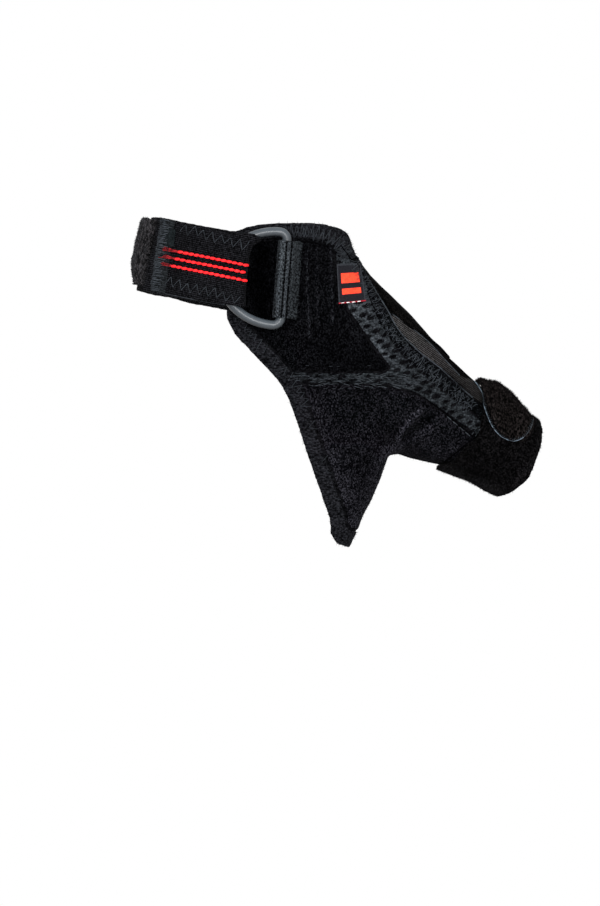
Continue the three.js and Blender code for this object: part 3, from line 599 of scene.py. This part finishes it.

# mesh panel: slanting rows of small sunken openings with painted shade in them, each strayed in place, size
# and outline
openings = {"along": 3.25, "across": 3.05, "long": 1.25, "wide": 0.62, "depth": 0.8}
openings.update({"slope": -23, "lean": 40, "step": -0.62, "start": 0.3})
panel = cloth["meshPanel"]
points, normals = pointsOf(panel)
slope, lean = math.radians(openings["slope"]), math.radians(openings["lean"])
alongHole = points[:, 0] * math.cos(slope) + points[:, 2] * math.sin(slope)
acrossHole = -points[:, 0] * math.sin(slope) + points[:, 2] * math.cos(slope) + openings["start"]
rowIndex = np.round(acrossHole / openings["across"])
alongHole = alongHole + rowIndex * openings["step"] + 0.35 * np.sin(rowIndex * 2.3)
columnIndex = np.round(alongHole / openings["along"])
du = alongHole - columnIndex * openings["along"] + 0.3 * np.sin(rowIndex * 5.1 + columnIndex * 3.7)
dv = acrossHole - rowIndex * openings["across"] + 0.25 * np.sin(rowIndex * 2.7 + columnIndex * 4.9)
size = 1 + 0.22 * np.sin(rowIndex * 1.9 + columnIndex * 7.3)
eu = (du * math.cos(lean) + dv * math.sin(lean)) / (openings["long"] * size)
ev = (-du * math.sin(lean) + dv * math.cos(lean)) / (openings["wide"] * size)
ragged = 0.2 * np.sin(du * 8 + rowIndex * 2) + 0.16 * np.sin(dv * 15 + columnIndex * 3)
holeShare = np.clip(2.7 - 2.2 * (np.hypot(eu, ev) + ragged), 0, 1) * (normals[:, 1] < 0.1)
putPoints(panel, points - normals * (holeShare * openings["depth"])[:, None])
markPoints(panel, "hole", holeShare)
ripple(panel, 0.9, 0.16, 41.0)

# the strap is measured along and across its own slant
strap = {"tilt": math.radians(11.5), "level": -3.7, "tabMiddle": 2.8, "tabHalf": 11.8, "tabRound": 1.9}
strap.update({"foldFrom": -8, "foldSpan": 9})
strap["foldDraw"] = ((-12, 0.2), (-6, -0.9), (0, -1.6), (6, -2.3),
                     (8.2, -2.1), (9.8, -0.4), (11, 1), (12.5, 1.2))


def onStrap(along, across):
    c, s = math.cos(strap["tilt"]), math.sin(strap["tilt"])
    return along * c + across * s, -along * s + across * c + strap["level"]


# the fold sits square to the ring, its upper corner lies over the ring's arm,
# and the end tab is fullest in its middle
points, normals = pointsOf(cloth["wristStrap"])
c, s = math.cos(strap["tilt"]), math.sin(strap["tilt"])
along = points[:, 0] * c - (points[:, 2] - strap["level"]) * s
across = points[:, 0] * s + (points[:, 2] - strap["level"]) * c
draw = np.interp(across, *zip(*strap["foldDraw"])) * (points[:, 1] < 0)
draw *= np.clip((along - strap["foldFrom"]) / strap["foldSpan"], 0, 1)
putPoints(cloth["wristStrap"], points + draw[:, None] * np.array((c, 0, -s)))
points, normals = pointsOf(cloth["strapEndTab"])
across = points[:, 0] * math.sin(strap["tilt"]) + (points[:, 2] - strap["level"]) * math.cos(strap["tilt"])
outward = points * (1, 1, 0)
outward /= np.linalg.norm(outward, axis=1)[:, None]
outer = np.clip((normals * outward).sum(1) * 3, 0, 1)
edge = np.clip(np.abs(across - strap["tabMiddle"]) / strap["tabHalf"], 0, 1) ** 4
putPoints(cloth["strapEndTab"], points - outward * (outer * edge * strap["tabRound"])[:, None])
push(("wristStrap",), (2.2, -30, 7.4), 7, (0.9, 0, 1.9))
print("cloth shaped")


# stitching: threads lie on the cloth that carries them
def treeOf(names):
    work = bmesh.new()
    for name in names:
        work.from_mesh(cloth[name].data)
    tree = BVHTree.FromBMesh(work)
    work.free()
    return tree


strapNames = ("wristStrap", "strapEndTab")
bodyTree = treeOf([name for name in cloth if name not in (*strapNames, "ringWebbing")])
strapTree = treeOf(strapNames)
wholeTree = treeOf(cloth)
# a hit beyond this depth is the far wall of the hollow
farWall = {"start": 12, "slope": 0.15, "outside": 200}


def drop(tree, x, z, lift, near=None):
    # the place on the front of the cloth, or the nearest to a depth where the cloth is missed
    hit, normal, _, _ = tree.ray_cast(Vector((x * mm, -farWall["outside"] * mm, z * mm)), Vector((0, 1, 0)))
    if hit is not None and hit.y > farWall["start"] * mm + farWall["slope"] * hit.x:
        hit = None
    if hit is None and near is not None:
        hit, normal, _, _ = tree.find_nearest(Vector((x * mm, near * mm, z * mm)))
    return None if hit is None else hit + normal * lift * mm


def dropSide(tree, y, z, lift):
    # the same, from the cuff's side
    hit, normal, _, _ = tree.ray_cast(Vector((farWall["outside"] * mm, y * mm, z * mm)), Vector((-1, 0, 0)))
    return hit + normal * lift * mm


def threads(name, runs, radius, material, slot, sides=2, taper=None, closed=False):
    # round threads along all the runs, joined in one piece
    curve = bpy.data.curves.new(name, "CURVE")
    curve.dimensions = "3D"
    curve.bevel_depth = radius * mm
    curve.bevel_resolution = sides
    curve.use_fill_caps = True
    for run in runs:
        run = [p for p in run if p is not None]
        if len(run) < 2:
            continue
        spline = curve.splines.new("POLY")
        spline.points.add(len(run) - 1)
        spline.use_cyclic_u = closed
        for i, p in enumerate(run):
            spline.points[i].co = (*p, 1)
            if taper:
                spline.points[i].radius = taper[i]
    source = newObject(name + "Source", curve)
    mesh = evaluatedMesh(source)
    bpy.data.objects.remove(source)
    bpy.data.curves.remove(curve)
    piece = bpy.data.objects.new(name, mesh)
    mesh.name = name
    place(piece, None, material, slot)
    print(f"{name}: {len(mesh.polygons)} faces")
    return piece


needleDepth = 0.22


def stitchRun(tree, ends, lift, bow=0.16, steps=4):
    # one stitch between two needle holes, bowed up off the cloth
    (x0, z0), (x1, z1) = ends
    run = []
    for k in range(steps + 1):
        s = k / steps
        rise = (bow + needleDepth) * math.sin(math.pi * s) ** 0.6 if 0 < s < 1 else 0
        height = lift - needleDepth + rise
        run.append(drop(tree, x0 + (x1 - x0) * s, z0 + (z1 - z0) * s, height))
    return run


def looseThread(x, z, turn, long, lift):
    return stitchRun(bodyTree, ((x, z), (x + long * math.cos(turn), z + long * math.sin(turn))), lift)


def zigzag(tree, line, width, pitch, lift=0.12, wander=0.12, skip=0.0):
    path = evenPath(line, pitch / 2)
    turns = []
    for i, p in enumerate(path):
        way = (path[min(i + 1, len(path) - 1)] - path[max(i - 1, 0)]).normalized()
        reach = (1 if i % 2 else -1) * width / 2 * (1 + random.uniform(-wander, wander))
        stray = random.uniform(-wander, wander) * 0.8
        turns.append((p.x - way.y * reach + stray, p.y + way.x * reach + stray))
    return [stitchRun(tree, pair, lift) for pair in zip(turns, turns[1:]) if random.random() >= skip]


def dashes(tree, line, stitch, gap, lift=0.08, skip=0.0):
    fine = 0.2
    path = evenPath(line, fine)
    runs, i = [], 0.0
    while i + stitch / fine < len(path):
        a, b = path[int(i)], path[int(i + stitch / fine)]
        if random.random() >= skip:
            runs.append(stitchRun(tree, ((a.x, a.y), (b.x, b.y)), lift, 0.1, 3))
        i += (stitch + gap) / fine
    return runs


def cordOn(tree, line, lift):
    return [[drop(tree, p.x, p.y, lift) for p in evenPath(line, 0.6)]]


# binding: stitches down the front edge, an overlock and a seam along the top
frontEdge = [(-1.5, -17.5), (1.5, -21.5), (7.5, -28.5), (13, -34.5), (18.3, -41.5)]
frontEdge += [(21.5, -50), (25, -60), (28.5, -70), (31, -78)]
topEdge = [(13, 9), (18, 9.2), (23, 8.8), (28, 7.2), (32, 4.2), (34.5, 1)]
rows = zigzag(bodyTree, frontEdge[:6], 2.8, 2.4, wander=0.3, skip=0.25)
rows += zigzag(bodyTree, frontEdge[5:], 2.6, 3.0, lift=0.02, wander=0.35, skip=0.6)
threads("edgeStitches", rows, 0.1, "threadGrey", "edge_binding")
rows = zigzag(bodyTree, [(x, z + 0.6) for x, z in topEdge], 4.4, 1.7, wander=0.2)
rows += zigzag(bodyTree, topEdge, 2.8, 1.9, wander=0.3, skip=0.2)
threads("topOverlock", rows, 0.13, "threadGrey", "edge_binding")
topLine = [(13, 6.6), (20, 6.4), (26, 5.2), (30.6, 2)]
threads("topSeam", cordOn(bodyTree, topLine, -0.05), 0.22, "threadDark", "edge_binding")

# seam tape: two layers of zigzags and short loose threads
tapeMiddle = [(36.4, 0.5), (40.5, -7.6), (44.9, -16), (49.9, -23)]
tapeMiddle += [(56.4, -30.4), (63.4, -36.8), (70.6, -42.4), (75.5, -46.6)]
rows = zigzag(bodyTree, [(x - 0.8, z - 0.8) for x, z in tapeMiddle], 3.2, 2.2, wander=0.8, skip=0.3)
threads("tapeStitches", rows, 0.1, "threadLight", "seam_tape")
rows = zigzag(bodyTree, tapeMiddle, 3.2, 1.9, wander=0.5, skip=0.2)
rows += zigzag(bodyTree, [(x - 1.6, z - 1.4) for x, z in tapeMiddle], 2.6, 1.6, wander=0.6, skip=0.3)
threads("tapeUnderStitches", rows, 0.09, "threadGrey", "seam_tape")
rows = []
for p in evenPath(tapeMiddle, 0.3):
    x, z = p.x + random.uniform(-2.6, 0.9), p.y + random.uniform(-2.2, 0.9)
    turn, long = random.uniform(0, 2 * math.pi), random.uniform(0.6, 1.6)
    rows.append(looseThread(x, z, turn, long, 0.12))
threads("tapeFrizz", rows, 0.08, "threadLight", "seam_tape")

# raised edge along the ribbed pocket with its highlight painted as a light cord, the pocket's far edge as a
# light cord of painted highlight, dark seams beside them, and dark cords of painted shade between the mesh
# panel and the tape
pipingLine = [(36.6, 2), (38.3, -0.6), (41, -6.2), (46, -14.5), (50.7, -22.3)]
pipingLine += [(56.8, -28.7), (63.9, -34.2), (69.8, -39.6), (74.6, -43.8)]
# light cords: painted highlights on the raised edge and on the pocket's far edge
threads("pipingHighlight", cordOn(bodyTree, pipingLine, 0.1), 0.22, "threadLight", "seam_tape", 3)
threads("pocketEdgeHighlight", cordOn(bodyTree, farEdge[:-1], 0.05), 0.17, "threadLight", "stay_pocket", 3)
rim, _ = pointsOf(cloth["sidePanel"])
rim = [min(rim[np.abs(rim[:, 1] - y) < 0.4], key=lambda p: p[2]) for y in np.arange(-8, 12.5, 0.75)]
rim = [Vector((a + b + c) / 3 + (-0.15, 0, -0.3)) * mm for a, b, c in zip(rim, rim[1:], rim[2:])]
threads("pocketSeam", [rim], 0.42, "threadDark", "side_panel", 3)
panelTop = 1.35
topGap = [dropSide(bodyTree, 0.5 * k, panelTop, 0.1) for k in range(-13, 14)]
threads("sideTopSeam", [topGap], 0.5, "threadDark", "side_panel", 3)
# dark cords: painted shade between the mesh panel and the seam tape
shadeLines = ([(31.5, 5.2), (33.5, 2.6), (35.1, 0.5)],
              [(40.1, -9.4), (41, -12.3), (43.4, -17.9), (46.1, -22.3)])
threads("tapeShade", [cordOn(bodyTree, line, 0.15)[0] for line in shadeLines], 0.26, "threadDark",
        "seam_tape", 3)

# mesh panel: its sewn edge and end, and loose threads
meshEdge = [(58.4, -43.6), (66, -49.3), (74.6, -56.5)]
rows = dashes(bodyTree, [(x - 0.3, z - 0.4) for x, z in meshEdge[1:]], 2.2, 0.5, 0.05)
threads("meshEdgeThread", rows, 0.13, "threadLight", "mesh_panel")
threads("meshEdgeShade", cordOn(bodyTree, meshEdge, 0.02), 0.22, "threadDark", "mesh_panel")
rows = dashes(bodyTree, [(75.1, -56.2), (77.6, -52.4)], 1.2, 0.5)
rows += dashes(bodyTree, [(74, -55.6), (76.4, -52)], 1.2, 0.5)
threads("meshEndStitches", rows, 0.13, "threadLight", "mesh_panel")
rows = []
for _ in range(22):
    x, z = random.uniform(29.6, 33.5), random.uniform(0.8, 4.6)
    line = [(x, z), (x + 0.6, z + random.uniform(-0.5, 0.5)), (x + 2.2, z + random.uniform(-1, 1))]
    rows += cordOn(bodyTree, line, 0.1)
threads("meshLooseThreads", rows, 0.1, "threadGrey", "mesh_panel")

# broken rows along the patches, and threads along the mesh's lower branch
patchLines = (
    [(20.7, 5.2), (20.8, -8), (21.4, -26)],
    [(28.4, 4.2), (28.6, -8), (29, -21)],
    [(17.5, -33.4), (30, -33.7), (43, -33.4)],
    [(18.5, -40.6), (31, -40.9), (45, -40.6)],
)
rows = [run for line in patchLines for run in dashes(bodyTree, line, 1.6, 0.9, 0.0, skip=0.45)]
threads("patchStitches", rows, 0.09, "threadGrey", "wrist_patch")
branch = {"count": 90, "from": 15, "to": 56, "level": -38.2, "half": 1.9}
rows = []
for _ in range(branch["count"]):
    x = random.uniform(branch["from"], branch["to"])
    z = branch["level"] + random.uniform(-branch["half"], branch["half"])
    turn, long = random.uniform(-0.4, 0.4), random.uniform(1.2, 3.4)
    rows.append(looseThread(x, z, turn, long, 0.1))
threads("branchThreads", rows, 0.09, "threadLight", "mesh_panel")
print("body stitching made")

# thumb tab with an overlocked edge, and the cuff's seam
tabEdge = [(74.9, -38.3), (76.2, -40), (77.5, -42.6), (77.8, -45.6), (78.8, -49), (80.6, -53), (83.2, -56)]
tabEdge += [(86, -57.4), (88.6, -57.6), (91, -56.4), (92.9, -54.2), (93.9, -51.8), (94.3, -49.6)]
threads("tabEdgeCord", cordOn(bodyTree, tabEdge[:-3], 0.08), 0.12, "threadPale", "thumb_tab", 2)
threads("tabEdgeEnd", cordOn(bodyTree, tabEdge[-4:], 0.06), 0.11, "threadLight", "thumb_tab", 2)
cuffLine = [(75.5, -56.5), (71.9, -59), (68.4, -61.9), (64.8, -64.8)]
threads("cuffSeam", cordOn(bodyTree, cuffLine, -0.05), 0.3, "threadDark", "thumb_cuff", 3)
whips = []
path = evenPath(tabEdge, 0.75)
for i in range(1, len(path) - 1):
    way = (path[i + 1] - path[i - 1]).normalized()
    inner = path[i] + Vector((-way.y, way.x, 0)) * random.uniform(0.5, 1.1) + way * 0.5
    whips.append(stitchRun(bodyTree, ((path[i].x, path[i].y), (inner.x, inner.y)), 0.12, 0.1, 3))
threads("tabWhipStitches", whips, 0.09, "threadLight", "thumb_tab")

# wrist strap: chain stitched red rows, grey zigzags and the sewn end
red = {"rows": ((-21.7, 2.5), (-22.2, 0.1), (-22.9, -2.4)), "to": 1.3, "pitch": 1.76}
red.update({"long": 0.92, "lean": 0.14, "radius": 0.46, "taper": (0.25, 0.8, 1, 1.05, 1, 0.8, 0.25)})
links, faint = [], []
for start, across in red["rows"]:
    along = start + red["long"]
    while along < red["to"]:
        link = []
        for k in range(7):
            share = k / 3 - 1
            x, z = onStrap(along + share * red["long"],
                           across + share * red["lean"] + random.uniform(-0.03, 0.03))
            link.append(drop(strapTree, x, z, 0.16 + 0.22 * (1 - share * share)))
        links.append(link)
        along += red["pitch"]
    for offset in (-0.35, -0.1, 0.15, 0.4):
        reach = random.uniform(2.6, 5.6)
        ends = onStrap(start - reach, across + offset * 1.6), onStrap(start + 0.6, across + offset * 0.5)
        faint.append(stitchRun(strapTree, ends, 0.78, 0.02, 6))
threads("redRows", links, red["radius"], "threadRed", "wrist_strap", 2, taper=red["taper"])
threads("redEnds", faint, 0.07, "threadDimRed", "wrist_strap")
upper = [onStrap(-22.5, 10.1), onStrap(-10, 9.3), onStrap(0, 8.4)]
lower = [onStrap(-23.8, -7.5), onStrap(-10, -8.2), onStrap(2, -8.8)]
rows = zigzag(strapTree, upper, 2.9, 3.0, wander=0.22) + zigzag(strapTree, lower, 2.9, 2.9, wander=0.22)
threads("strapStitches", rows, 0.09, "threadLight", "wrist_strap")
strapEdge = [onStrap(-26, -11.5), onStrap(-12, -11.6), onStrap(-1, -11)]
threads("strapEdgeCord", cordOn(strapTree, strapEdge, 0.0), 0.17, "threadGrey", "wrist_strap")


frontDepth = -8


def fromCorners(corners, v):
    # a point of a grid one wide, as shares and placed between corners that run clockwise from the top left
    across, down = v.co.x + 0.5, 0.5 - v.co.y
    top = Vector(corners[0]).lerp(Vector(corners[1]), across)
    bottom = Vector(corners[3]).lerp(Vector(corners[2]), across)
    return across, down, top.lerp(bottom, down)


def draped(name, outline, steps, lift, thickness, material):
    # a thin strip laid on the strap
    work = bmesh.new()
    bmesh.ops.create_grid(work, x_segments=steps[0], y_segments=steps[1], size=0.5)
    for v in work.verts:
        _, _, flat = fromCorners(outline, v)
        v.co = drop(strapTree, flat.x, flat.y, lift, frontDepth)
    bmesh.ops.smooth_vert(work, verts=[v for v in work.verts if not v.is_boundary], factor=0.5,
                          use_axis_y=True)
    bmesh.ops.solidify(work, geom=work.faces, thickness=thickness * mm)
    bmesh.ops.recalc_face_normals(work, faces=work.faces)
    order = Vector((7, 31, 3))  # solidify leaves its parts in no fixed order
    work.verts.sort(key=lambda v: v.co.dot(order))
    work.edges.sort(key=lambda e: (e.verts[0].co + e.verts[1].co).dot(order))
    work.faces.sort(key=lambda f: f.calc_center_median().dot(order))
    mesh = bpy.data.meshes.new(name)
    work.to_mesh(mesh)
    work.free()
    place(bpy.data.objects.new(name, mesh), None, material, "wrist_strap")


tapeOutline = [onStrap(-28.8, 12.0), onStrap(-24.6, 12.0), onStrap(-23.0, -11.6), onStrap(-27.5, -11.6)]
draped("strapEndTape", tapeOutline, (12, 48), 0.3, 0.3, "endTape")
tackOutline = [onStrap(-28.5, 9.2), onStrap(-23.7, 9.2), onStrap(-23.2, 3.8), onStrap(-28.1, 3.4)]
draped("strapTackPatch", tackOutline, (14, 20), 0.55, 0.25, "tackPatch")
whip = {"count": 62, "top": 11.7, "pitch": 0.375, "left": -29, "slant": 1.2, "short": 1.8, "long": 3.6,
        "lift": 0.72}
rows = []
for k in range(whip["count"]):
    across = whip["top"] - whip["pitch"] * k
    start = whip["left"] + whip["slant"] * k / whip["count"] + random.uniform(-0.2, 0.2)
    reach = random.uniform(whip["short"], whip["long"])
    ends = onStrap(start, across), onStrap(start + reach, across + random.uniform(-0.3, 0.3))
    rows.append(stitchRun(strapTree, ends, whip["lift"]))
threads("endWhipStitches", rows, 0.13, "threadLight", "wrist_strap")
print("strap stitching made")

# ring webbing: two raised bands with sewn rows between them
ring = {"tilt": math.radians(4.5), "level": -5.8, "side": 13.2, "wire": 1.5, "half": 15.0, "corner": 2.5,
        "depth": 22.8}
ring.update({"swing": math.radians(3), "back": -26.7, "band": 12})


def onRing(along, across):
    c, s = math.cos(ring["tilt"]), math.sin(ring["tilt"])
    return ring["side"] + along * c + across * s, -along * s + across * c + ring["level"]


def downBand(along):
    return [onRing(along, across) for across in (ring["band"], 0, -ring["band"])]


for along, lift in ((-1.1, 0.32), (0.1, -0.3), (0.9, 0.32), (1.7, -0.28)):
    raiseAlong(cloth["ringWebbing"], downBand(along), 0.6, lift)
# painted highlights on the raised bands and painted shade in the sunken rows between them
bandLightAndShade = ((-1.3, 1.1, 0.5), (0.9, 0.9, 0.5), (-2.3, 0.5, -0.7),
             (0.1, 0.6, -1.1), (1.7, 0.6, -1.1), (4.6, 3.4, -0.5))
bandRows = [([onRing(along, 13), onRing(along, -13)], width, change) for along, width, change in bandLightAndShade]
paintLightOn(cloth["ringWebbing"], bandRows)
webTree = treeOf(["ringWebbing"])
# dark dashes in the sunken sewn rows are painted shade in the gaps between the bands
rows = [run for along in (0.1, 1.7) for run in dashes(webTree, downBand(along), 0.6, 0.7, 0.1)]
threads("webbingGapShade", rows, 0.2, "threadDark", "ring_webbing")
rows = [run for along in (-1.5, -0.9, 0.7, 1.1) for run in dashes(webTree, downBand(along), 0.9, 0.4, 0.05)]
threads("webbingStitches", rows, 0.12, "threadLight", "ring_webbing")

# the ring: a smooth wire, straight where the webbing holds it and round where the strap passes
corner, half = ring["corner"], ring["half"]
reach = ring["depth"] - 2 * ring["wire"] - corner
quarter = [math.pi / 2 * k / 8 for k in range(1, 8)]
wirePath = [(0, (half - corner) * (1 - k / 6)) for k in range(13)]
wirePath += [(corner * (math.cos(a) - 1), -half + corner * (1 - math.sin(a))) for a in quarter]
farHalf = [-math.pi * (0.5 + k / 56) for k in range(57)]
wirePath += [(-corner + reach * math.cos(a), half * math.sin(a)) for a in farHalf]
wirePath += [(corner * (math.cos(a) - 1), half - corner * (1 - math.sin(a))) for a in reversed(quarter)]
loop = []
for x, z in wirePath:
    px, pz = onRing(x * math.cos(ring["swing"]), z)
    loop.append((px * mm, (ring["back"] + x * math.sin(ring["swing"])) * mm, pz * mm))
wire = threads("dRing", [loop], ring["wire"], "ringGrey", "d_ring", 6, closed=True)
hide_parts("d_ring")
# painted light and shade: the wire's colour is lighter where it faces up and to the front, darker underneath
ringLight = {"from": (-0.1, -0.55, 0.75), "middle": 0.7, "least": 0.12, "most": 1.6}
_, normals = pointsOf(wire)
shade = ringLight["middle"] + normals @ np.array(ringLight["from"])
markPoints(wire, "paintedLight", np.clip(shade, ringLight["least"], ringLight["most"]))
print("ring made")

# label: a folded woven strip with two plain stripes and a thin hem
label = {"corners": [(30.2, -0.7), (37.9, -0.2), (39.7, -12.6), (30.9, -13.6)], "lift": 0.5,
         "steps": (56, 92)}
label.update({"stripes": ((0.24, 0.5), (0.64, 0.78)), "sides": (0.16, 0.86), "hem": 0.968, "border": 0.05})
label.update({"eased": 40, "wall": 0.35})
work = bmesh.new()
bmesh.ops.create_grid(work, x_segments=label["steps"][0], y_segments=label["steps"][1], size=0.5)
layers = {mark: work.verts.layers.float.new(mark) for mark in ("stripe", "hem", "border")}
left, right = label["sides"]
for v in work.verts:
    across, down, flat = fromCorners(label["corners"], v)
    v[layers["stripe"]] = float(left < across < right and any(a < down < b for a, b in label["stripes"]))
    v[layers["hem"]] = float(down > label["hem"])
    v[layers["border"]] = float(min(across, 1 - across, down) < label["border"])
    under = drop(bodyTree, flat.x, flat.y, 0, frontDepth)
    v.co = (flat.x * mm, under.y - label["lift"] * mm, flat.y * mm)
for _ in range(label["eased"]):
    bmesh.ops.smooth_vert(work, verts=work.verts, factor=0.5, use_axis_y=True)
mesh = bpy.data.meshes.new("wovenLabel")
work.to_mesh(mesh)
work.free()
strip = place(bpy.data.objects.new("wovenLabel", mesh), "label", "label")
wall = strip.modifiers.new("wall", "SOLIDIFY")
wall.thickness = label["wall"] * mm
labelTree = BVHTree.FromPolygons([v.co for v in mesh.vertices], [p.vertices for p in mesh.polygons])
hemLine = [(31.6, -13.3), (35.4, -13), (38.9, -12.5)]
threads("labelHemStitches", dashes(labelTree, hemLine, 1.0, 0.8, 0.12), 0.12, "threadWhite", "label")
print("label made")


# loose fibres stand on the cloth
fibre = {"clear": 0.12, "room": 1.6, "rooted": 0.1, "short": 0.5, "tall": 1.2, "taper": (1, 0.35), "tries": 4}


def nap(name, piece, count, length, radius, material, slot, lean, seed):
    mesh = piece.data
    areas, centres, normals = (np.zeros(len(mesh.polygons) * k, np.float32) for k in (1, 3, 3))
    mesh.polygons.foreach_get("area", areas)
    mesh.polygons.foreach_get("center", centres)
    mesh.polygons.foreach_get("normal", normals)
    centres, normals = centres.reshape(-1, 3), normals.reshape(-1, 3)
    draw = np.random.RandomState(seed)
    runs = []
    for i in draw.choice(len(areas), size=count * fibre["tries"], p=areas / areas.sum()):
        root, up = Vector(centres[i]), Vector(normals[i])
        if wholeTree.ray_cast(root + up * fibre["clear"] * mm, up, fibre["room"] * mm)[0] is not None:
            continue  # another cloth lies over it
        way = (up + Vector(draw.uniform(-lean, lean, 3))).normalized()
        reach = length * draw.uniform(fibre["short"], fibre["tall"]) * mm
        runs.append([root - up * fibre["rooted"] * mm, root + way * reach])
        if len(runs) == count:
            break
    threads(name, runs, radius, material, slot, 0, taper=fibre["taper"])


naps = (  # name, cloth, count, length, radius, finish, slot, lean
    ("handNap", "handPatch", 6500, 0.6, 0.055, "napBlack", "hand_patch", 1.4),
    ("wristNap", "wristPatch", 1800, 0.55, 0.05, "napBlack", "wrist_patch", 1.4),
    ("cuffNap", "thumbCuff", 2600, 0.6, 0.055, "napBlack", "thumb_cuff", 1.0),
    ("tabNap", "thumbTab", 1800, 0.6, 0.06, "napBrown", "thumb_tab", 0.7),
    ("endTabNap", "strapEndTab", 2800, 0.5, 0.06, "napGrey", "strap_end_tab", 1.0),
    ("strapNap", "wristStrap", 2200, 0.4, 0.045, "napBlack", "wrist_strap", 1.2),
    ("webbingNap", "ringWebbing", 500, 0.6, 0.05, "threadGrey", "ring_webbing", 1.0),
    ("edgeNap", "edgeBinding", 2600, 0.8, 0.05, "threadGrey", "edge_binding", 1.5),
    ("tapeNap", "seamTape", 700, 0.8, 0.05, "threadGrey", "seam_tape", 1.5),
)
for seed, (name, piece, *looks) in enumerate(naps, 11):
    nap(name, cloth[piece], *looks, seed)
print("nap made")

# studio: an even white world, a pale floor and three soft lights
studio = {"floor": -0.5, "floorRadius": 2.4, "floorGrey": 0.86, "floorRough": 0.9, "world": 1.0}
studio["aim"] = (0.02, 0, -0.05)
studio["lights"] = (  # name, place, size, power
    ("keyLight", (-0.7, -1.1, 1.0), 0.7, 11),
    ("frontLight", (0.2, -2.0, 0.35), 0.8, 40),
    ("fillLight", (1.1, -0.9, 0.2), 0.9, 5),
)
world = bpy.data.worlds.new("studio")
bpy.context.scene.world = world
world.use_nodes = True
world.node_tree.nodes["Background"].inputs["Color"].default_value = (1, 1, 1, 1)
world.node_tree.nodes["Background"].inputs["Strength"].default_value = studio["world"]
work = bmesh.new()
bmesh.ops.create_circle(work, cap_ends=True, segments=96, radius=studio["floorRadius"])
bmesh.ops.translate(work, verts=work.verts, vec=(0, 0, studio["floor"]))
mesh = bpy.data.meshes.new("floor")
work.to_mesh(mesh)
work.free()
floor = newObject("floor", mesh)
pale = bpy.data.materials.new("paleFloor")
pale.use_nodes = True
paleShader = pale.node_tree.nodes["Principled BSDF"]
paleShader.inputs["Base Color"].default_value = (*(studio["floorGrey"],) * 3, 1)
paleShader.inputs["Roughness"].default_value = studio["floorRough"]
mesh.materials.append(pale)

for name, where, size, power in studio["lights"]:
    lamp = bpy.data.lights.new(name, "AREA")
    lamp.size = size
    lamp.energy = power
    light = newObject(name, lamp)
    light.location = where
    light.rotation_euler = (Vector(studio["aim"]) - Vector(where)).to_track_quat("-Z", "Y").to_euler()
bpy.context.scene.view_settings.view_transform = "Standard"

print("studio made")
